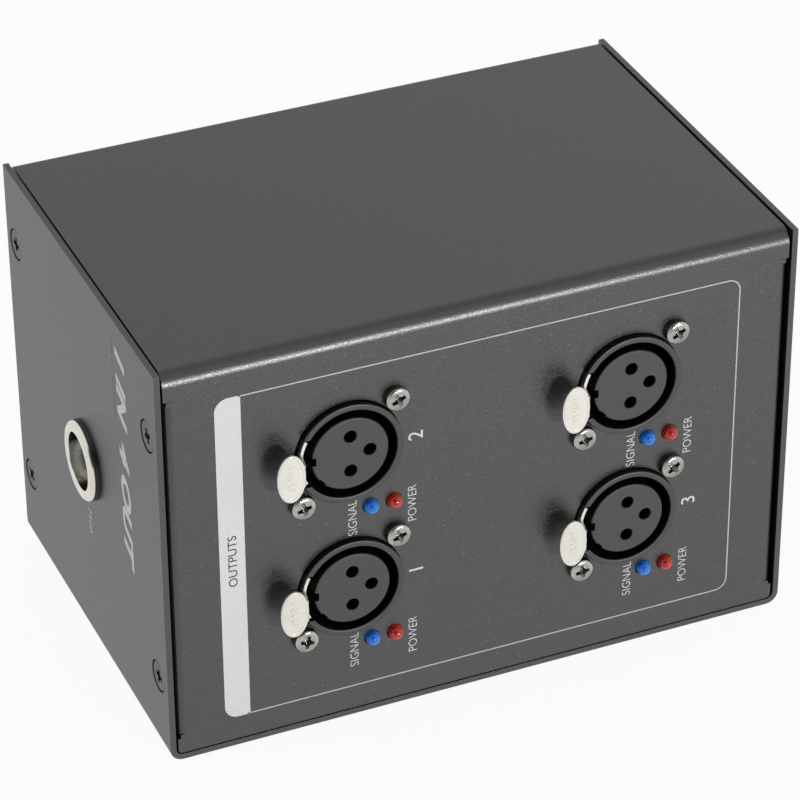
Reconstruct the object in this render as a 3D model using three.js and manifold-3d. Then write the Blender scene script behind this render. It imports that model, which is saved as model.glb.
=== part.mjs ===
// One-in, four-out control-signal splitter in a small folded-sheet box.
// Millimetres, +Z up. The output panel faces -Y, the plate with the hanging bushing faces -X,
// and the origin is on the ground under the middle of the box.
import * as THREE from "three";
import { mergeVertices } from "three/addons/utils/BufferGeometryUtils.js";
import Module from "manifold-3d";

const wasm = await Module();
wasm.setup();

// Box
const BOX_WIDTH = 132;
const BOX_DEPTH = 86;
const BOX_HEIGHT = 88;
const SHEET = 1.2;
const COVER_BEND = 2.6;
const CHASSIS_BEND = 3;
const CHASSIS_BACK_BEND = 1.7;
const SHELL_GAP = 0.5;
const BOTTOM_GAP = 0.15;
const FACE_SETBACK = 0.2;
const TOP_DROP = 0.2;

// Side flanges of the chassis, which take the cover's screws
const FLANGE_DEPTH = 11;
const FLANGE_BEND = 1.8;
const FLANGE_BOTTOM = 5.6;
const FLANGE_TOP_MARGIN = 6.9;
const RELIEF_WIDTH = 0.8;

// Cover screws, countersunk
const COVER_SCREW_SETBACK = 5.2;
const COVER_SCREW_LOW = 17.2;
const COVER_SCREW_TOP_MARGIN = 15.7;
const COVER_SCREW_HEAD = 6.5;
const COVER_SCREW_SHANK = 3.5;
const COVER_SCREW_SINK = 0.35;
const COVER_SCREW_LENGTH = 8;
const COLLAR_WALL = 1;
const COLLAR_LENGTH = 1.8;

// Pan-head screws of the connectors and of the boards
const PAN_HEAD = 5;
const PAN_HEIGHT = 1.9;
const PAN_ROUND = 0.7;
const PAN_SHANK = 2.5;
const PAN_LENGTH = 9;
const CROSS_ARM = 2.6;
const CROSS_WIDTH = 0.7;
const CROSS_DEPTH = 1;
const HOLE_CLEARANCE = 0.2;

// Output connectors: two columns, two rows
const COLUMN_PITCH = 58.5;
const COLUMN_SHIFT = 1.15;
const ROW_PITCH = 31;
const ROW_SPARE_SHARE = 0.87;
const BARREL = 21.6;
const BARREL_BORE = 19.1;
const BARREL_PROUD = 1.4;
const BARREL_FLOOR = 9.6;
const FLOOR_THICKNESS = 1.6;
const PANEL_HOLE = 22.1;
const SCREW_OFFSET = 9.7;
const EAR_RADIUS = 3.2;
const EAR_THICKNESS = 2.5;
const BODY_HALF = 11.4;
const BODY_LAMP_SIDE = 10.8;
const BODY_DEPTH = 18.8;
const BODY_WALL = 1.5;
const BODY_CORNER = 1.5;
const SCREW_HOLE_DEPTH = 9.6;

// Socket insert
const INSERT = 15.6;
const INSERT_SINK = 0.15;
const INSERT_EDGE = 0.5;
const INSERT_BOSS = 13.2;
const INSERT_BOSS_DEPTH = 4.5;
const CONTACT_SPREAD = 3.81;
const CONTACT_DROP = 3.95;
const SOCKET = 2.6;
const SOCKET_DEPTH = 9;
const KEY_WIDTH = 2.2;
const KEY_DEPTH = 1.2;
const NICK_WIDTH = 1.6;
const NICK_DEPTH = 0.4;
const NICK_TURN = 40;
const TAIL = 0.8;
const TAIL_BEYOND_BOARD = 1.2;
const TAIL_HOLE_GAP = 0.3;
const SEAT_GAP = 0.3;

// Release lever of an output connector
const LEVER_THICKNESS = 0.6;
const LEVER_INNER = 9.7;
const LEVER_HALF_TURN = 28;
const LEVER_SINK = 0.4;
const TAB_PROUD = 5;
const TAB_WIDTH = 10.4;
const TAB_HEIGHT = 5.7;
const TAB_CENTRE = 13.38;
const TAB_NECK = 4.7;
const TAB_FOLD = 10.45;
const PIVOT_DEPTH = 6.3;
const PIVOT_HEIGHT = 9.9;
const PIVOT_PIN = 1.6;
const PIVOT_LENGTH = 12.6;
const PIVOT_GAP = 0.25;
const CATCH_HEIGHT = 0.7;
const CATCH_WIDTH = 4;
const CATCH_START = 0.6;
const CATCH_LENGTH = 2.6;
const CATCH_LAND = 0.6;
const SLOT_WIDTH = 10.5;
const SLOT_BOTTOM = 7.6;
const SLOT_DEPTH = 7.7;

// Lamps under each output connector
const LAMP = 3;
const LAMP_RIM = 3.8;
const LAMP_RIM_THICKNESS = 1;
const LAMP_LENGTH = 3.1;
const LAMP_HOLE = 3.4;
const LAMP_SIDE = 13.7;
const SIGNAL_LAMP_DROP = 4.45;
const POWER_LAMP_DROP = 9.25;
const LAMP_LEG = 0.5;
const LAMP_LEG_SPREAD = 1.27;

// Hanging bushing in the left plate
const BUSHING_FLANGE = 16.6;
const BUSHING_PROUD = 1.8;
const BUSHING_EDGE = 0.9;
const BUSHING_MOUTH = 12.4;
const BUSHING_LIP = 0.3;
const BUSHING_COUNTERBORE = 7;
const BUSHING_THREAD = 8.6;
const BUSHING_LENGTH = 14;
const BUSHING_BARREL = 14.4;
const BUSHING_BULGE = 17;
const BUSHING_BULGE_WIDTH = 2;
const BUSHING_CLEARANCE = 0.2;

// Boards, standoffs and what sits on the boards
const BOARD = 1.6;
const OUTPUT_BOARD_MARGIN = 14.6;
const MAIN_BOARD_EDGE = 4.8;
const STANDOFF = 8;
const STANDOFF_WIDTH = 5.5;
const STANDOFF_SIDES = 6;
const STANDOFF_BORE = 2.9;
const STANDOFF_LEFT_MARGIN = 12.8;
const STANDOFF_RIGHT_MARGIN = 34.4;
const STANDOFF_SETBACK = 9.3;
const TRANSFORMER_MARGIN = 7.5;
const TRANSFORMER_GAP = 1;
const TRANSFORMER_WIDTH = 33;
const TRANSFORMER_DEPTH = 28;
const TRANSFORMER_HEIGHT = 19;
const COIL_OVERHANG = 4;
const COIL_WIDTH = 20;
const COIL_HEIGHT = 14;
const CAPACITOR = 10;
const CAPACITOR_HEIGHT = 13;
const CAPACITOR_SHIFT = 13;
const CAPACITOR_SETBACK = 10.5;
const CHIP_LENGTH = 8;
const CHIP_WIDTH = 5;
const CHIP_HEIGHT = 3.4;
const CHIP_MARGIN = 1;
const CHIP_GAP = 1.1;
const CHIP_COUNT = 4;
const TERMINAL_LENGTH = 15;
const TERMINAL_DEPTH = 8;
const TERMINAL_HEIGHT = 10;
const TERMINAL_MARGIN = 4.9;
const TERMINAL_Y = 17;
const LINK_WIDTH = 16;
const LINK_THICKNESS = 1;
const LINK_X = 2;
const LINK_REACH = 7;
const LINK_DROP = 5;
const LINK_BEND = 3;

// Input connector and mains inlet on the back
const REAR_MARGIN = 38;
const CUP_BORE = 16.2;
const CUP_DEPTH = 9.8;
const CUP_KEY_WIDTH = 2;
const CUP_KEY_DEPTH = 0.9;
const PIN = 2.4;
const PIN_SINK = 1;
const PIN_DISC_THICKNESS = 2;
const BEZEL_WIDTH = 50;
const BEZEL_HEIGHT = 33;
const BEZEL_THICKNESS = 2.5;
const BEZEL_CORNER = 3;
const INLET_BODY_WIDTH = 27.2;
const INLET_BODY_HEIGHT = 30.8;
const INLET_BODY_DEPTH = 22;
const INLET_SCREW_MARGIN = 5;
const INLET_SCREW_HEAD = 5.6;
const CUTOUT_GAP = 0.4;
const SOCKET_WIDTH = 24.2;
const SOCKET_HEIGHT = 16.2;
const SOCKET_CENTRE = 5.6;
const SOCKET_CHAMFER = 5;
const SOCKET_RECESS = 16.5;
const BLADE_WIDTH = 2;
const BLADE_HEIGHT = 4;
const BLADE_SINK = 5;
const BLADE_SPREAD = 7;
const EARTH_RISE = 2;
const TERMINAL_TAB_WIDTH = 6.3;
const TERMINAL_TAB_THICKNESS = 0.8;
const TERMINAL_TAB_LENGTH = 6;

// Fuse drawer in the inlet
const DRAWER_WIDTH = 22;
const DRAWER_HEIGHT = 8.2;
const DRAWER_CENTRE = -10.1;
const DRAWER_LENGTH = 18;
const DRAWER_PROUD = 0.6;
const DRAWER_WALL = 0.9;
const DRAWER_GAP = 0.3;
const DRAWER_GRIP_WIDTH = 7;
const DRAWER_GRIP_DEPTH = 0.8;
const DRAWER_GRIP_HEIGHT = 2.2;
const FUSE = 5;
const FUSE_LENGTH = 19.6;
const FUSE_CAP_LENGTH = 5;
const FUSE_GLASS = 4.6;
const FUSE_DEPTH = 8;
const FUSE_GAP = 0.3;

// Inner leads
const MAINS_LEAD = 4;
const INPUT_LEAD = 3.4;
const INPUT_LEAD_GAP = 4.5;
const INPUT_LEAD_RISE = 8;
const LEAD_GAP = 0.3;
const LEAD_RUN_OUT = 5;

// Facets and cutters
const HOLE_STEPS = 48;
const ROUND_STEPS = 28;
const SINK_STEPS = 20;
const SMALL_STEPS = 12;
const BEND_STEPS = 6;
const CORNER_STEPS = 3;
const LEAD_STEPS = 10;
const LEAD_SIDES = 8;
const OVERRUN = 2;

const QUARTER = Math.PI / 2;
const X_AXIS = new THREE.Vector3(1, 0, 0);
const Y_AXIS = new THREE.Vector3(0, 1, 0);
const Z_AXIS = new THREE.Vector3(0, 0, 1);
const MINUS_X = X_AXIS.clone().negate();
const MINUS_Y = Y_AXIS.clone().negate();
const MINUS_Z = Z_AXIS.clone().negate();

// Places that several pieces share
const FACE = BOX_DEPTH / 2 - FACE_SETBACK;
const CHASSIS_TOP = BOX_HEIGHT - TOP_DROP;
const CHASSIS_HALF = BOX_WIDTH / 2 - SHEET - SHELL_GAP;
const CHASSIS_BOTTOM = SHEET + BOTTOM_GAP;
const FLANGE_TOP = BOX_HEIGHT - FLANGE_TOP_MARGIN;
const COVER_SCREW_HIGH = BOX_HEIGHT - COVER_SCREW_TOP_MARGIN;
const COVER_SCREW_SPACING = BOX_DEPTH - 2 * COVER_SCREW_SETBACK;
const REAR_Z = BOX_HEIGHT / 2;
const INLET_X = BOX_WIDTH / 2 - REAR_MARGIN;
const INPUT_X = -INLET_X;
const INLET_SCREW_SPACING = BEZEL_WIDTH - 2 * INLET_SCREW_MARGIN;
const BOARD_DEPTH = SHEET + BODY_DEPTH;
const MAIN_BOARD_TOP = CHASSIS_TOP - SHEET - STANDOFF;
const MAIN_BOARD_UNDERSIDE = MAIN_BOARD_TOP - BOARD;
const LEFT_COLUMN = COLUMN_SHIFT - COLUMN_PITCH / 2;
const RIGHT_COLUMN = COLUMN_SHIFT + COLUMN_PITCH / 2;
const ROW_REACH_UP = SCREW_OFFSET + EAR_RADIUS;
const ROW_REACH_DOWN = LAMP_SIDE + LAMP_RIM / 2;
const ROW_ROOM = MAIN_BOARD_UNDERSIDE - CHASSIS_BOTTOM - ROW_REACH_UP - ROW_REACH_DOWN - ROW_PITCH;
const LOW_ROW = CHASSIS_BOTTOM + ROW_REACH_DOWN + ROW_SPARE_SHARE * ROW_ROOM;
const HIGH_ROW = LOW_ROW + ROW_PITCH;
const OUTPUTS = [
  { number: 1, x: LEFT_COLUMN, z: LOW_ROW },
  { number: 2, x: LEFT_COLUMN, z: HIGH_ROW },
  { number: 3, x: RIGHT_COLUMN, z: LOW_ROW },
  { number: 4, x: RIGHT_COLUMN, z: HIGH_ROW },
];
const STANDOFF_LEFT = -BOX_WIDTH / 2 + STANDOFF_LEFT_MARGIN;
const STANDOFF_RIGHT = BOX_WIDTH / 2 - STANDOFF_RIGHT_MARGIN;
const STANDOFF_SPREAD = BOX_DEPTH - 2 * STANDOFF_SETBACK;
const MAIN_BOARD_LEFT = STANDOFF_LEFT - MAIN_BOARD_EDGE;
const MAIN_BOARD_RIGHT = STANDOFF_RIGHT + MAIN_BOARD_EDGE;
const MAIN_BOARD_DEPTH = STANDOFF_SPREAD + 2 * MAIN_BOARD_EDGE;
const TRANSFORMER_X = MAIN_BOARD_LEFT + TRANSFORMER_MARGIN + TRANSFORMER_WIDTH / 2;
const TRANSFORMER_RIGHT = TRANSFORMER_X + TRANSFORMER_WIDTH / 2;
const TRANSFORMER_REACH = TRANSFORMER_DEPTH / 2 + COIL_OVERHANG;
const TAILS_BACK = -FACE + BOARD_DEPTH + BOARD + TAIL_BEYOND_BOARD;
const TRANSFORMER_Y = TAILS_BACK + TRANSFORMER_GAP + TRANSFORMER_REACH;
const LINK_START = -FACE + BOARD_DEPTH + BOARD + LEAD_GAP;
const LINK_END = LINK_START + LINK_REACH;
const INPUT_LEAD_X = TRANSFORMER_RIGHT + INPUT_LEAD_GAP;
const CHIP_Y = PAN_HEAD / 2 + CHIP_GAP + CHIP_LENGTH / 2;
const CHIP_LEFT = INPUT_LEAD_X + INPUT_LEAD / 2 + CHIP_MARGIN + CHIP_WIDTH / 2;
const CHIP_RIGHT = MAIN_BOARD_RIGHT - CHIP_MARGIN - CHIP_WIDTH / 2;
const CHIP_PITCH = (CHIP_RIGHT - CHIP_LEFT) / (CHIP_COUNT - 1);
const TERMINAL_X = MAIN_BOARD_RIGHT - TERMINAL_MARGIN - TERMINAL_LENGTH / 2;
const CAPACITOR_X = INPUT_LEAD_X + CAPACITOR_SHIFT;
const CAPACITOR_Y = MAIN_BOARD_DEPTH / 2 - CAPACITOR_SETBACK;
const STANDOFFS = [
  { name: "left_front", x: STANDOFF_LEFT, y: -STANDOFF_SPREAD / 2 },
  { name: "left_back", x: STANDOFF_LEFT, y: STANDOFF_SPREAD / 2 },
  { name: "right", x: STANDOFF_RIGHT, y: 0 },
];

// Materials
const paint = (color) =>
  new THREE.MeshStandardMaterial({ color, roughness: 0.55, metalness: 0.1, flatShading: true });
const metal = (color, roughness) =>
  new THREE.MeshStandardMaterial({ color, roughness, metalness: 0.9, flatShading: true });
const plastic = (color, roughness) =>
  new THREE.MeshStandardMaterial({ color, roughness, metalness: 0, flatShading: true });
const boxPaint = paint(0x4b4c4e);
const nickel = metal(0xd9d6cc, 0.3);
const blackZinc = metal(0x1c1c1e, 0.45);
const steel = metal(0xa8a8a6, 0.35);
const blackPlastic = plastic(0x1a1a1b, 0.5);
const insertPlastic = plastic(0x3a3a3b, 0.55);
const boardGreen = plastic(0x1f5a3a, 0.5);
const blueLens = plastic(0x0a50c8, 0.2);
const redLens = plastic(0xb01812, 0.2);
const coilYellow = plastic(0xd8b23c, 0.5);
const fuseGlass = plastic(0xdfe6e8, 0.1);
const leadGrey = plastic(0x6a6c70, 0.6);

// Solids

function solid(shape) {
  if (!shape.isBufferGeometry) return shape;
  const bare = new THREE.BufferGeometry().setAttribute("position", shape.getAttribute("position"));
  if (shape.index) bare.setIndex(shape.index);
  const merged = mergeVertices(bare);
  const corners = [];
  const index = merged.index.array;
  for (let i = 0; i < index.length; i += 3) {
    const [a, b, c] = [index[i], index[i + 1], index[i + 2]];
    if (a !== b && b !== c && c !== a) corners.push(a, b, c);
  }
  const vertProperties = merged.getAttribute("position").array;
  const mesh = new wasm.Mesh({ numProp: 3, vertProperties, triVerts: new Uint32Array(corners) });
  return new wasm.Manifold(mesh);
}

function join(first, ...rest) {
  return rest.reduce((whole, piece) => whole.add(solid(piece)), solid(first));
}

function cut(first, ...cutters) {
  return cutters.reduce((whole, cutter) => whole.subtract(solid(cutter)), solid(first));
}

function toGeometry(shape) {
  if (shape.isBufferGeometry) return shape;
  const mesh = shape.getMesh();
  const geometry = new THREE.BufferGeometry();
  geometry.setAttribute("position", new THREE.BufferAttribute(mesh.vertProperties, 3));
  geometry.setIndex(new THREE.BufferAttribute(mesh.triVerts, 1));
  return geometry;
}

function frameOf(xAxis, yAxis, zAxis, x = 0, y = 0, z = 0) {
  return new THREE.Matrix4().makeBasis(xAxis, yAxis, zAxis).setPosition(x, y, z);
}

// A box between two corners, whichever way round they are given.
function block([x0, x1], [y0, y1], [z0, z1]) {
  const geometry = new THREE.BoxGeometry(Math.abs(x1 - x0), Math.abs(y1 - y0), Math.abs(z1 - z0));
  return geometry.translate((x0 + x1) / 2, (y0 + y1) / 2, (z0 + z1) / 2);
}

// An outline drawn in x and y, standing from one height to another.
function prism(outline, from, to, curveSegments = CORNER_STEPS) {
  const shape = Array.isArray(outline) ? new THREE.Shape(outline) : outline;
  const options = { depth: to - from, bevelEnabled: false, curveSegments };
  return new THREE.ExtrudeGeometry(shape, options).translate(0, 0, from);
}

// A profile of [radius, height] pairs turned about the z axis.
function turned(profile, steps = SMALL_STEPS) {
  const points = profile.map(([radius, height]) => new THREE.Vector2(radius, height));
  const upright = frameOf(X_AXIS, Z_AXIS, MINUS_Y);
  return new THREE.LatheGeometry(points, steps).applyMatrix4(upright);
}

function rod(diameter, from, to, x = 0, y = 0, steps = SMALL_STEPS) {
  const radius = diameter / 2;
  const profile = [
    [0, from],
    [radius, from],
    [radius, to],
    [0, to],
  ];
  return turned(profile, steps).translate(x, y, 0);
}

function arc(x, y, radius, from, to, steps = CORNER_STEPS) {
  return Array.from({ length: steps + 1 }, (_, i) => {
    const angle = from + ((to - from) * i) / steps;
    return new THREE.Vector2(x + radius * Math.cos(angle), y + radius * Math.sin(angle));
  });
}

function roundedRectangle(x0, x1, y0, y1, radius) {
  return [
    ...arc(x1 - radius, y1 - radius, radius, 0, QUARTER),
    ...arc(x0 + radius, y1 - radius, radius, QUARTER, 2 * QUARTER),
    ...arc(x0 + radius, y0 + radius, radius, 2 * QUARTER, 3 * QUARTER),
    ...arc(x1 - radius, y0 + radius, radius, 3 * QUARTER, 4 * QUARTER),
  ];
}

// A folded sheet: a flat web with a leg up each side.
function channelOutline(span, leg, sheet, firstBend, lastBend) {
  const half = span / 2;
  const first = -half + firstBend;
  const last = half - lastBend;
  return [
    new THREE.Vector2(-half, leg),
    ...arc(first, firstBend, firstBend, 2 * QUARTER, 3 * QUARTER, BEND_STEPS),
    ...arc(last, lastBend, lastBend, 3 * QUARTER, 4 * QUARTER, BEND_STEPS),
    new THREE.Vector2(half, leg),
    new THREE.Vector2(half - sheet, leg),
    ...arc(last, lastBend, lastBend - sheet, 4 * QUARTER, 3 * QUARTER, BEND_STEPS),
    ...arc(first, firstBend, firstBend - sheet, 3 * QUARTER, 2 * QUARTER, BEND_STEPS),
    new THREE.Vector2(-half + sheet, leg),
  ];
}

function addPiece(group, name, shape, material) {
  const mesh = new THREE.Mesh(toGeometry(shape), material);
  mesh.name = name;
  group.add(mesh);
}

// Frames on the two panels: z points out of the panel, and y points to -X, which is up when
// the box hangs from its bushing.
function frontFrame(x, z) {
  return frameOf(Z_AXIS, MINUS_X, MINUS_Y, x, -FACE, z);
}

function backFrame(x, z) {
  return frameOf(MINUS_Z, MINUS_X, Y_AXIS, x, FACE, z);
}

// A frame on a side plate, with z pointing out of it. side is -1 on the left and 1 on the right.
function sideFrame(side, y, z) {
  const out = side < 0 ? MINUS_X : X_AXIS;
  const across = side < 0 ? MINUS_Y : Y_AXIS;
  return frameOf(across, Z_AXIS, out, (side * BOX_WIDTH) / 2, y, z);
}

function groupAt(frame) {
  const group = new THREE.Group();
  group.applyMatrix4(frame);
  return group;
}

const splitter = new THREE.Group();

// Screws

function crossRecess(top) {
  const half = CROSS_ARM / 2;
  const width = CROSS_WIDTH / 2;
  const depth = [top - CROSS_DEPTH, top + OVERRUN];
  return join(block([-half, half], [-width, width], depth), block([-width, width], [-half, half], depth));
}

function panScrew(head, length) {
  const radius = head / 2;
  const shank = PAN_SHANK / 2;
  const profile = [
    [0, -length],
    [shank, -length],
    [shank, 0],
    [radius, 0],
    [radius, PAN_HEIGHT - PAN_ROUND],
    [radius - PAN_ROUND, PAN_HEIGHT],
    [0, PAN_HEIGHT],
  ];
  return cut(turned(profile), crossRecess(PAN_HEIGHT));
}

// The side of a countersunk screw from its tip to its face, grown all round by a clearance.
function countersunkProfile(clearance) {
  const head = COVER_SCREW_HEAD / 2 + clearance;
  const shank = COVER_SCREW_SHANK / 2 + clearance;
  return [
    [0, -COVER_SCREW_LENGTH],
    [shank, -COVER_SCREW_LENGTH],
    [shank, -COVER_SCREW_SINK - (head - shank)],
    [head, -COVER_SCREW_SINK],
  ];
}

function coverScrew() {
  const profile = [...countersunkProfile(0), [0, -COVER_SCREW_SINK]];
  return cut(turned(profile), crossRecess(-COVER_SCREW_SINK));
}

function coverScrewHole({ side, y, z }, steps) {
  const profile = countersunkProfile(HOLE_CLEARANCE);
  const [head, height] = profile[profile.length - 1];
  const mouth = head + OVERRUN - height;
  const hole = turned([...profile, [mouth, OVERRUN], [0, OVERRUN]], steps);
  return hole.applyMatrix4(sideFrame(side, y, z));
}

const coverScrewPlaces = [];
for (const side of [-1, 1])
  for (const end of [-1, 1])
    for (const z of [COVER_SCREW_LOW, COVER_SCREW_HIGH])
      coverScrewPlaces.push({ side, end, y: (end * COVER_SCREW_SPACING) / 2, z });

// Chassis: output panel, top and back folded from one sheet, with four side flanges

function chassisFlange(side, end) {
  const outer = FLANGE_BEND;
  const inner = FLANGE_BEND - SHEET;
  const x = CHASSIS_HALF;
  const outline = [
    ...arc(x - outer, FACE - outer, outer, QUARTER, 0, BEND_STEPS),
    new THREE.Vector2(x, FACE - FLANGE_DEPTH),
    new THREE.Vector2(x - SHEET, FACE - FLANGE_DEPTH),
    ...arc(x - outer, FACE - outer, inner, 0, QUARTER, BEND_STEPS),
  ].map((point) => new THREE.Vector2(side * point.x, end * point.y));
  return prism(outline, FLANGE_BOTTOM, FLANGE_TOP);
}

// What is cut away for a flange: the flat edge of the panel and a little beyond each end.
function flangeRelief(side, end) {
  const width = [side * (CHASSIS_HALF - FLANGE_BEND), side * (CHASSIS_HALF + OVERRUN)];
  const depth = [end * (FACE - SHEET - OVERRUN), end * (FACE + OVERRUN)];
  return block(width, depth, [FLANGE_BOTTOM - RELIEF_WIDTH, FLANGE_TOP + RELIEF_WIDTH]);
}

function flangeCollar({ side, y, z }) {
  const depth = SHEET + SHELL_GAP + SHEET;
  const diameter = COVER_SCREW_SHANK + 2 * (HOLE_CLEARANCE + COLLAR_WALL);
  return rod(diameter, -depth - COLLAR_LENGTH, -depth).applyMatrix4(sideFrame(side, y, z));
}

// Rounds off the panels' lower corners, so that they clear the cover's inner bends.
function cornerCutter(side) {
  const radius = COVER_BEND - SHEET - SHELL_GAP;
  const x = CHASSIS_HALF;
  const z = CHASSIS_BOTTOM;
  const outline = [
    ...arc(x - radius, z + radius, radius, 3 * QUARTER, 4 * QUARTER),
    new THREE.Vector2(x + OVERRUN, z + radius),
    new THREE.Vector2(x + OVERRUN, z - OVERRUN),
    new THREE.Vector2(x - radius, z - OVERRUN),
  ].map((point) => new THREE.Vector2(side * point.x, point.y));
  const lying = frameOf(X_AXIS, Z_AXIS, MINUS_Y);
  return prism(outline, -BOX_DEPTH, BOX_DEPTH).applyMatrix4(lying);
}

function screwHole(x, y) {
  return rod(PAN_SHANK + 2 * HOLE_CLEARANCE, -SHEET - OVERRUN, OVERRUN, x, y);
}

// Holes in the output panel for one connector and its two lamps.
function outputHoles({ x, z }) {
  const through = [-SHEET - OVERRUN, OVERRUN];
  return [
    rod(PANEL_HOLE, ...through, 0, 0, HOLE_STEPS),
    screwHole(SCREW_OFFSET, -SCREW_OFFSET),
    screwHole(-SCREW_OFFSET, SCREW_OFFSET),
    rod(LAMP_HOLE, ...through, -LAMP_SIDE, -SIGNAL_LAMP_DROP),
    rod(LAMP_HOLE, ...through, -LAMP_SIDE, -POWER_LAMP_DROP),
  ].map((cutter) => cutter.applyMatrix4(frontFrame(x, z)));
}

function inputHoles() {
  const through = [-SHEET - OVERRUN, OVERRUN];
  return [
    rod(PANEL_HOLE, ...through, 0, 0, HOLE_STEPS),
    screwHole(SCREW_OFFSET, -SCREW_OFFSET),
    screwHole(-SCREW_OFFSET, SCREW_OFFSET),
  ].map((cutter) => cutter.applyMatrix4(backFrame(INPUT_X, REAR_Z)));
}

function inletHoles() {
  const through = [-SHEET - OVERRUN, OVERRUN];
  const width = INLET_BODY_WIDTH / 2 + CUTOUT_GAP;
  const height = INLET_BODY_HEIGHT / 2 + CUTOUT_GAP;
  return [
    block([-width, width], [-height, height], through),
    screwHole(INLET_SCREW_SPACING / 2, 0),
    screwHole(-INLET_SCREW_SPACING / 2, 0),
  ].map((cutter) => cutter.applyMatrix4(backFrame(INLET_X, REAR_Z)));
}

function chassisShell() {
  const leg = CHASSIS_TOP - CHASSIS_BOTTOM;
  const outline = channelOutline(2 * FACE, leg, SHEET, CHASSIS_BACK_BEND, CHASSIS_BEND);
  const folded = prism(outline, -CHASSIS_HALF, CHASSIS_HALF);
  let shell = solid(folded.applyMatrix4(frameOf(MINUS_Y, MINUS_Z, X_AXIS, 0, 0, CHASSIS_TOP)));
  for (const side of [-1, 1]) {
    for (const end of [-1, 1]) {
      shell = cut(shell, flangeRelief(side, end));
      shell = join(shell, chassisFlange(side, end));
    }
    shell = cut(shell, cornerCutter(side));
  }
  shell = join(shell, ...coverScrewPlaces.map(flangeCollar));
  for (const place of coverScrewPlaces) shell = cut(shell, coverScrewHole(place, SMALL_STEPS));
  for (const output of OUTPUTS) shell = cut(shell, ...outputHoles(output));
  return cut(shell, ...inputHoles(), ...inletHoles());
}

// Cover: left plate, bottom and right plate folded from one sheet

function coverShell() {
  const outline = channelOutline(BOX_WIDTH, BOX_HEIGHT, SHEET, COVER_BEND, COVER_BEND);
  const folded = prism(outline, 0, BOX_DEPTH);
  let shell = solid(folded.applyMatrix4(frameOf(X_AXIS, Z_AXIS, MINUS_Y, 0, BOX_DEPTH / 2, 0)));
  for (const place of coverScrewPlaces) shell = cut(shell, coverScrewHole(place, SINK_STEPS));
  const hole = rod(BUSHING_BARREL + 2 * BUSHING_CLEARANCE, -SHEET - OVERRUN, OVERRUN, 0, 0, ROUND_STEPS);
  return cut(shell, hole.applyMatrix4(sideFrame(-1, 0, BOX_HEIGHT / 2)));
}

// Flanged bushing, swaged into the left plate, with a threaded core behind a smooth mouth
function hangingBushing() {
  const flange = BUSHING_FLANGE / 2;
  const mouth = BUSHING_MOUTH / 2;
  const bore = mouth - BUSHING_LIP;
  const barrel = BUSHING_BARREL / 2;
  const bulge = BUSHING_BULGE / 2;
  const thread = BUSHING_THREAD / 2;
  const bulgeTop = -SHEET - SHELL_GAP;
  const bulgeBottom = bulgeTop - BUSHING_BULGE_WIDTH;
  const step = BUSHING_PROUD - BUSHING_COUNTERBORE;
  const profile = [
    [thread, -BUSHING_LENGTH],
    [barrel, -BUSHING_LENGTH],
    [barrel, bulgeBottom - (bulge - barrel)],
    [bulge, bulgeBottom],
    [bulge, bulgeTop],
    [barrel, bulgeTop],
    [barrel, 0],
    [flange, 0],
    [flange, BUSHING_PROUD - BUSHING_EDGE],
    [flange - BUSHING_EDGE, BUSHING_PROUD],
    [mouth, BUSHING_PROUD],
    [bore, BUSHING_PROUD - BUSHING_LIP],
    [bore, step],
    [thread, step - (bore - thread) / 2],
    [thread, -BUSHING_LENGTH],
  ];
  return turned(profile, ROUND_STEPS);
}

// Output connectors

function connectorBody(barrelBore, floorDepth) {
  const corner = BODY_CORNER;
  const back = -BOARD_DEPTH;
  const earBack = -SHEET - EAR_THICKNESS;
  const outline = roundedRectangle(-BODY_LAMP_SIDE, BODY_HALF, -BODY_HALF, BODY_HALF, corner);
  const hollow = roundedRectangle(
    -BODY_LAMP_SIDE + BODY_WALL,
    BODY_HALF - BODY_WALL,
    -BODY_HALF + BODY_WALL,
    BODY_HALF - BODY_WALL,
    corner,
  );
  const whole = join(
    prism(outline, back, -SHEET),
    rod(2 * EAR_RADIUS, earBack, -SHEET, SCREW_OFFSET, -SCREW_OFFSET),
    rod(2 * EAR_RADIUS, earBack, -SHEET, -SCREW_OFFSET, SCREW_OFFSET),
    rod(BARREL, -SHEET - OVERRUN, BARREL_PROUD, 0, 0, ROUND_STEPS),
  );
  const hole = PAN_SHANK + 2 * HOLE_CLEARANCE;
  const holeEnd = -SHEET - SCREW_HOLE_DEPTH;
  return cut(
    whole,
    rod(barrelBore, -floorDepth, BARREL_PROUD + OVERRUN, 0, 0, ROUND_STEPS),
    prism(hollow, back - OVERRUN, -floorDepth - FLOOR_THICKNESS),
    rod(hole, holeEnd, OVERRUN, SCREW_OFFSET, -SCREW_OFFSET),
    rod(hole, holeEnd, OVERRUN, -SCREW_OFFSET, SCREW_OFFSET),
  );
}

function outputHousing() {
  const slot = SLOT_WIDTH / 2;
  const pinHole = PIVOT_PIN + 2 * PIVOT_GAP;
  const pinHalf = PIVOT_LENGTH / 2 + PIVOT_GAP;
  const bearing = rod(pinHole, -pinHalf, pinHalf);
  return cut(
    connectorBody(BARREL_BORE, BARREL_FLOOR),
    rod(INSERT_BOSS + 2 * SEAT_GAP, -BOARD_DEPTH, 0, 0, 0, ROUND_STEPS),
    block([-slot, slot], [SLOT_BOTTOM, BODY_HALF + OVERRUN], [-SLOT_DEPTH, BARREL_PROUD + OVERRUN]),
    bearing.applyMatrix4(frameOf(Y_AXIS, Z_AXIS, X_AXIS, 0, PIVOT_HEIGHT, -PIVOT_DEPTH)),
  );
}

function contactTails() {
  const half = TAIL / 2;
  const reach = [-BOARD_DEPTH - BOARD - TAIL_BEYOND_BOARD, -BARREL_FLOOR - INSERT_BOSS_DEPTH + OVERRUN];
  return contactPlaces().map(([x, y]) => block([x - half, x + half], [y - half, y + half], reach));
}

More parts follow.
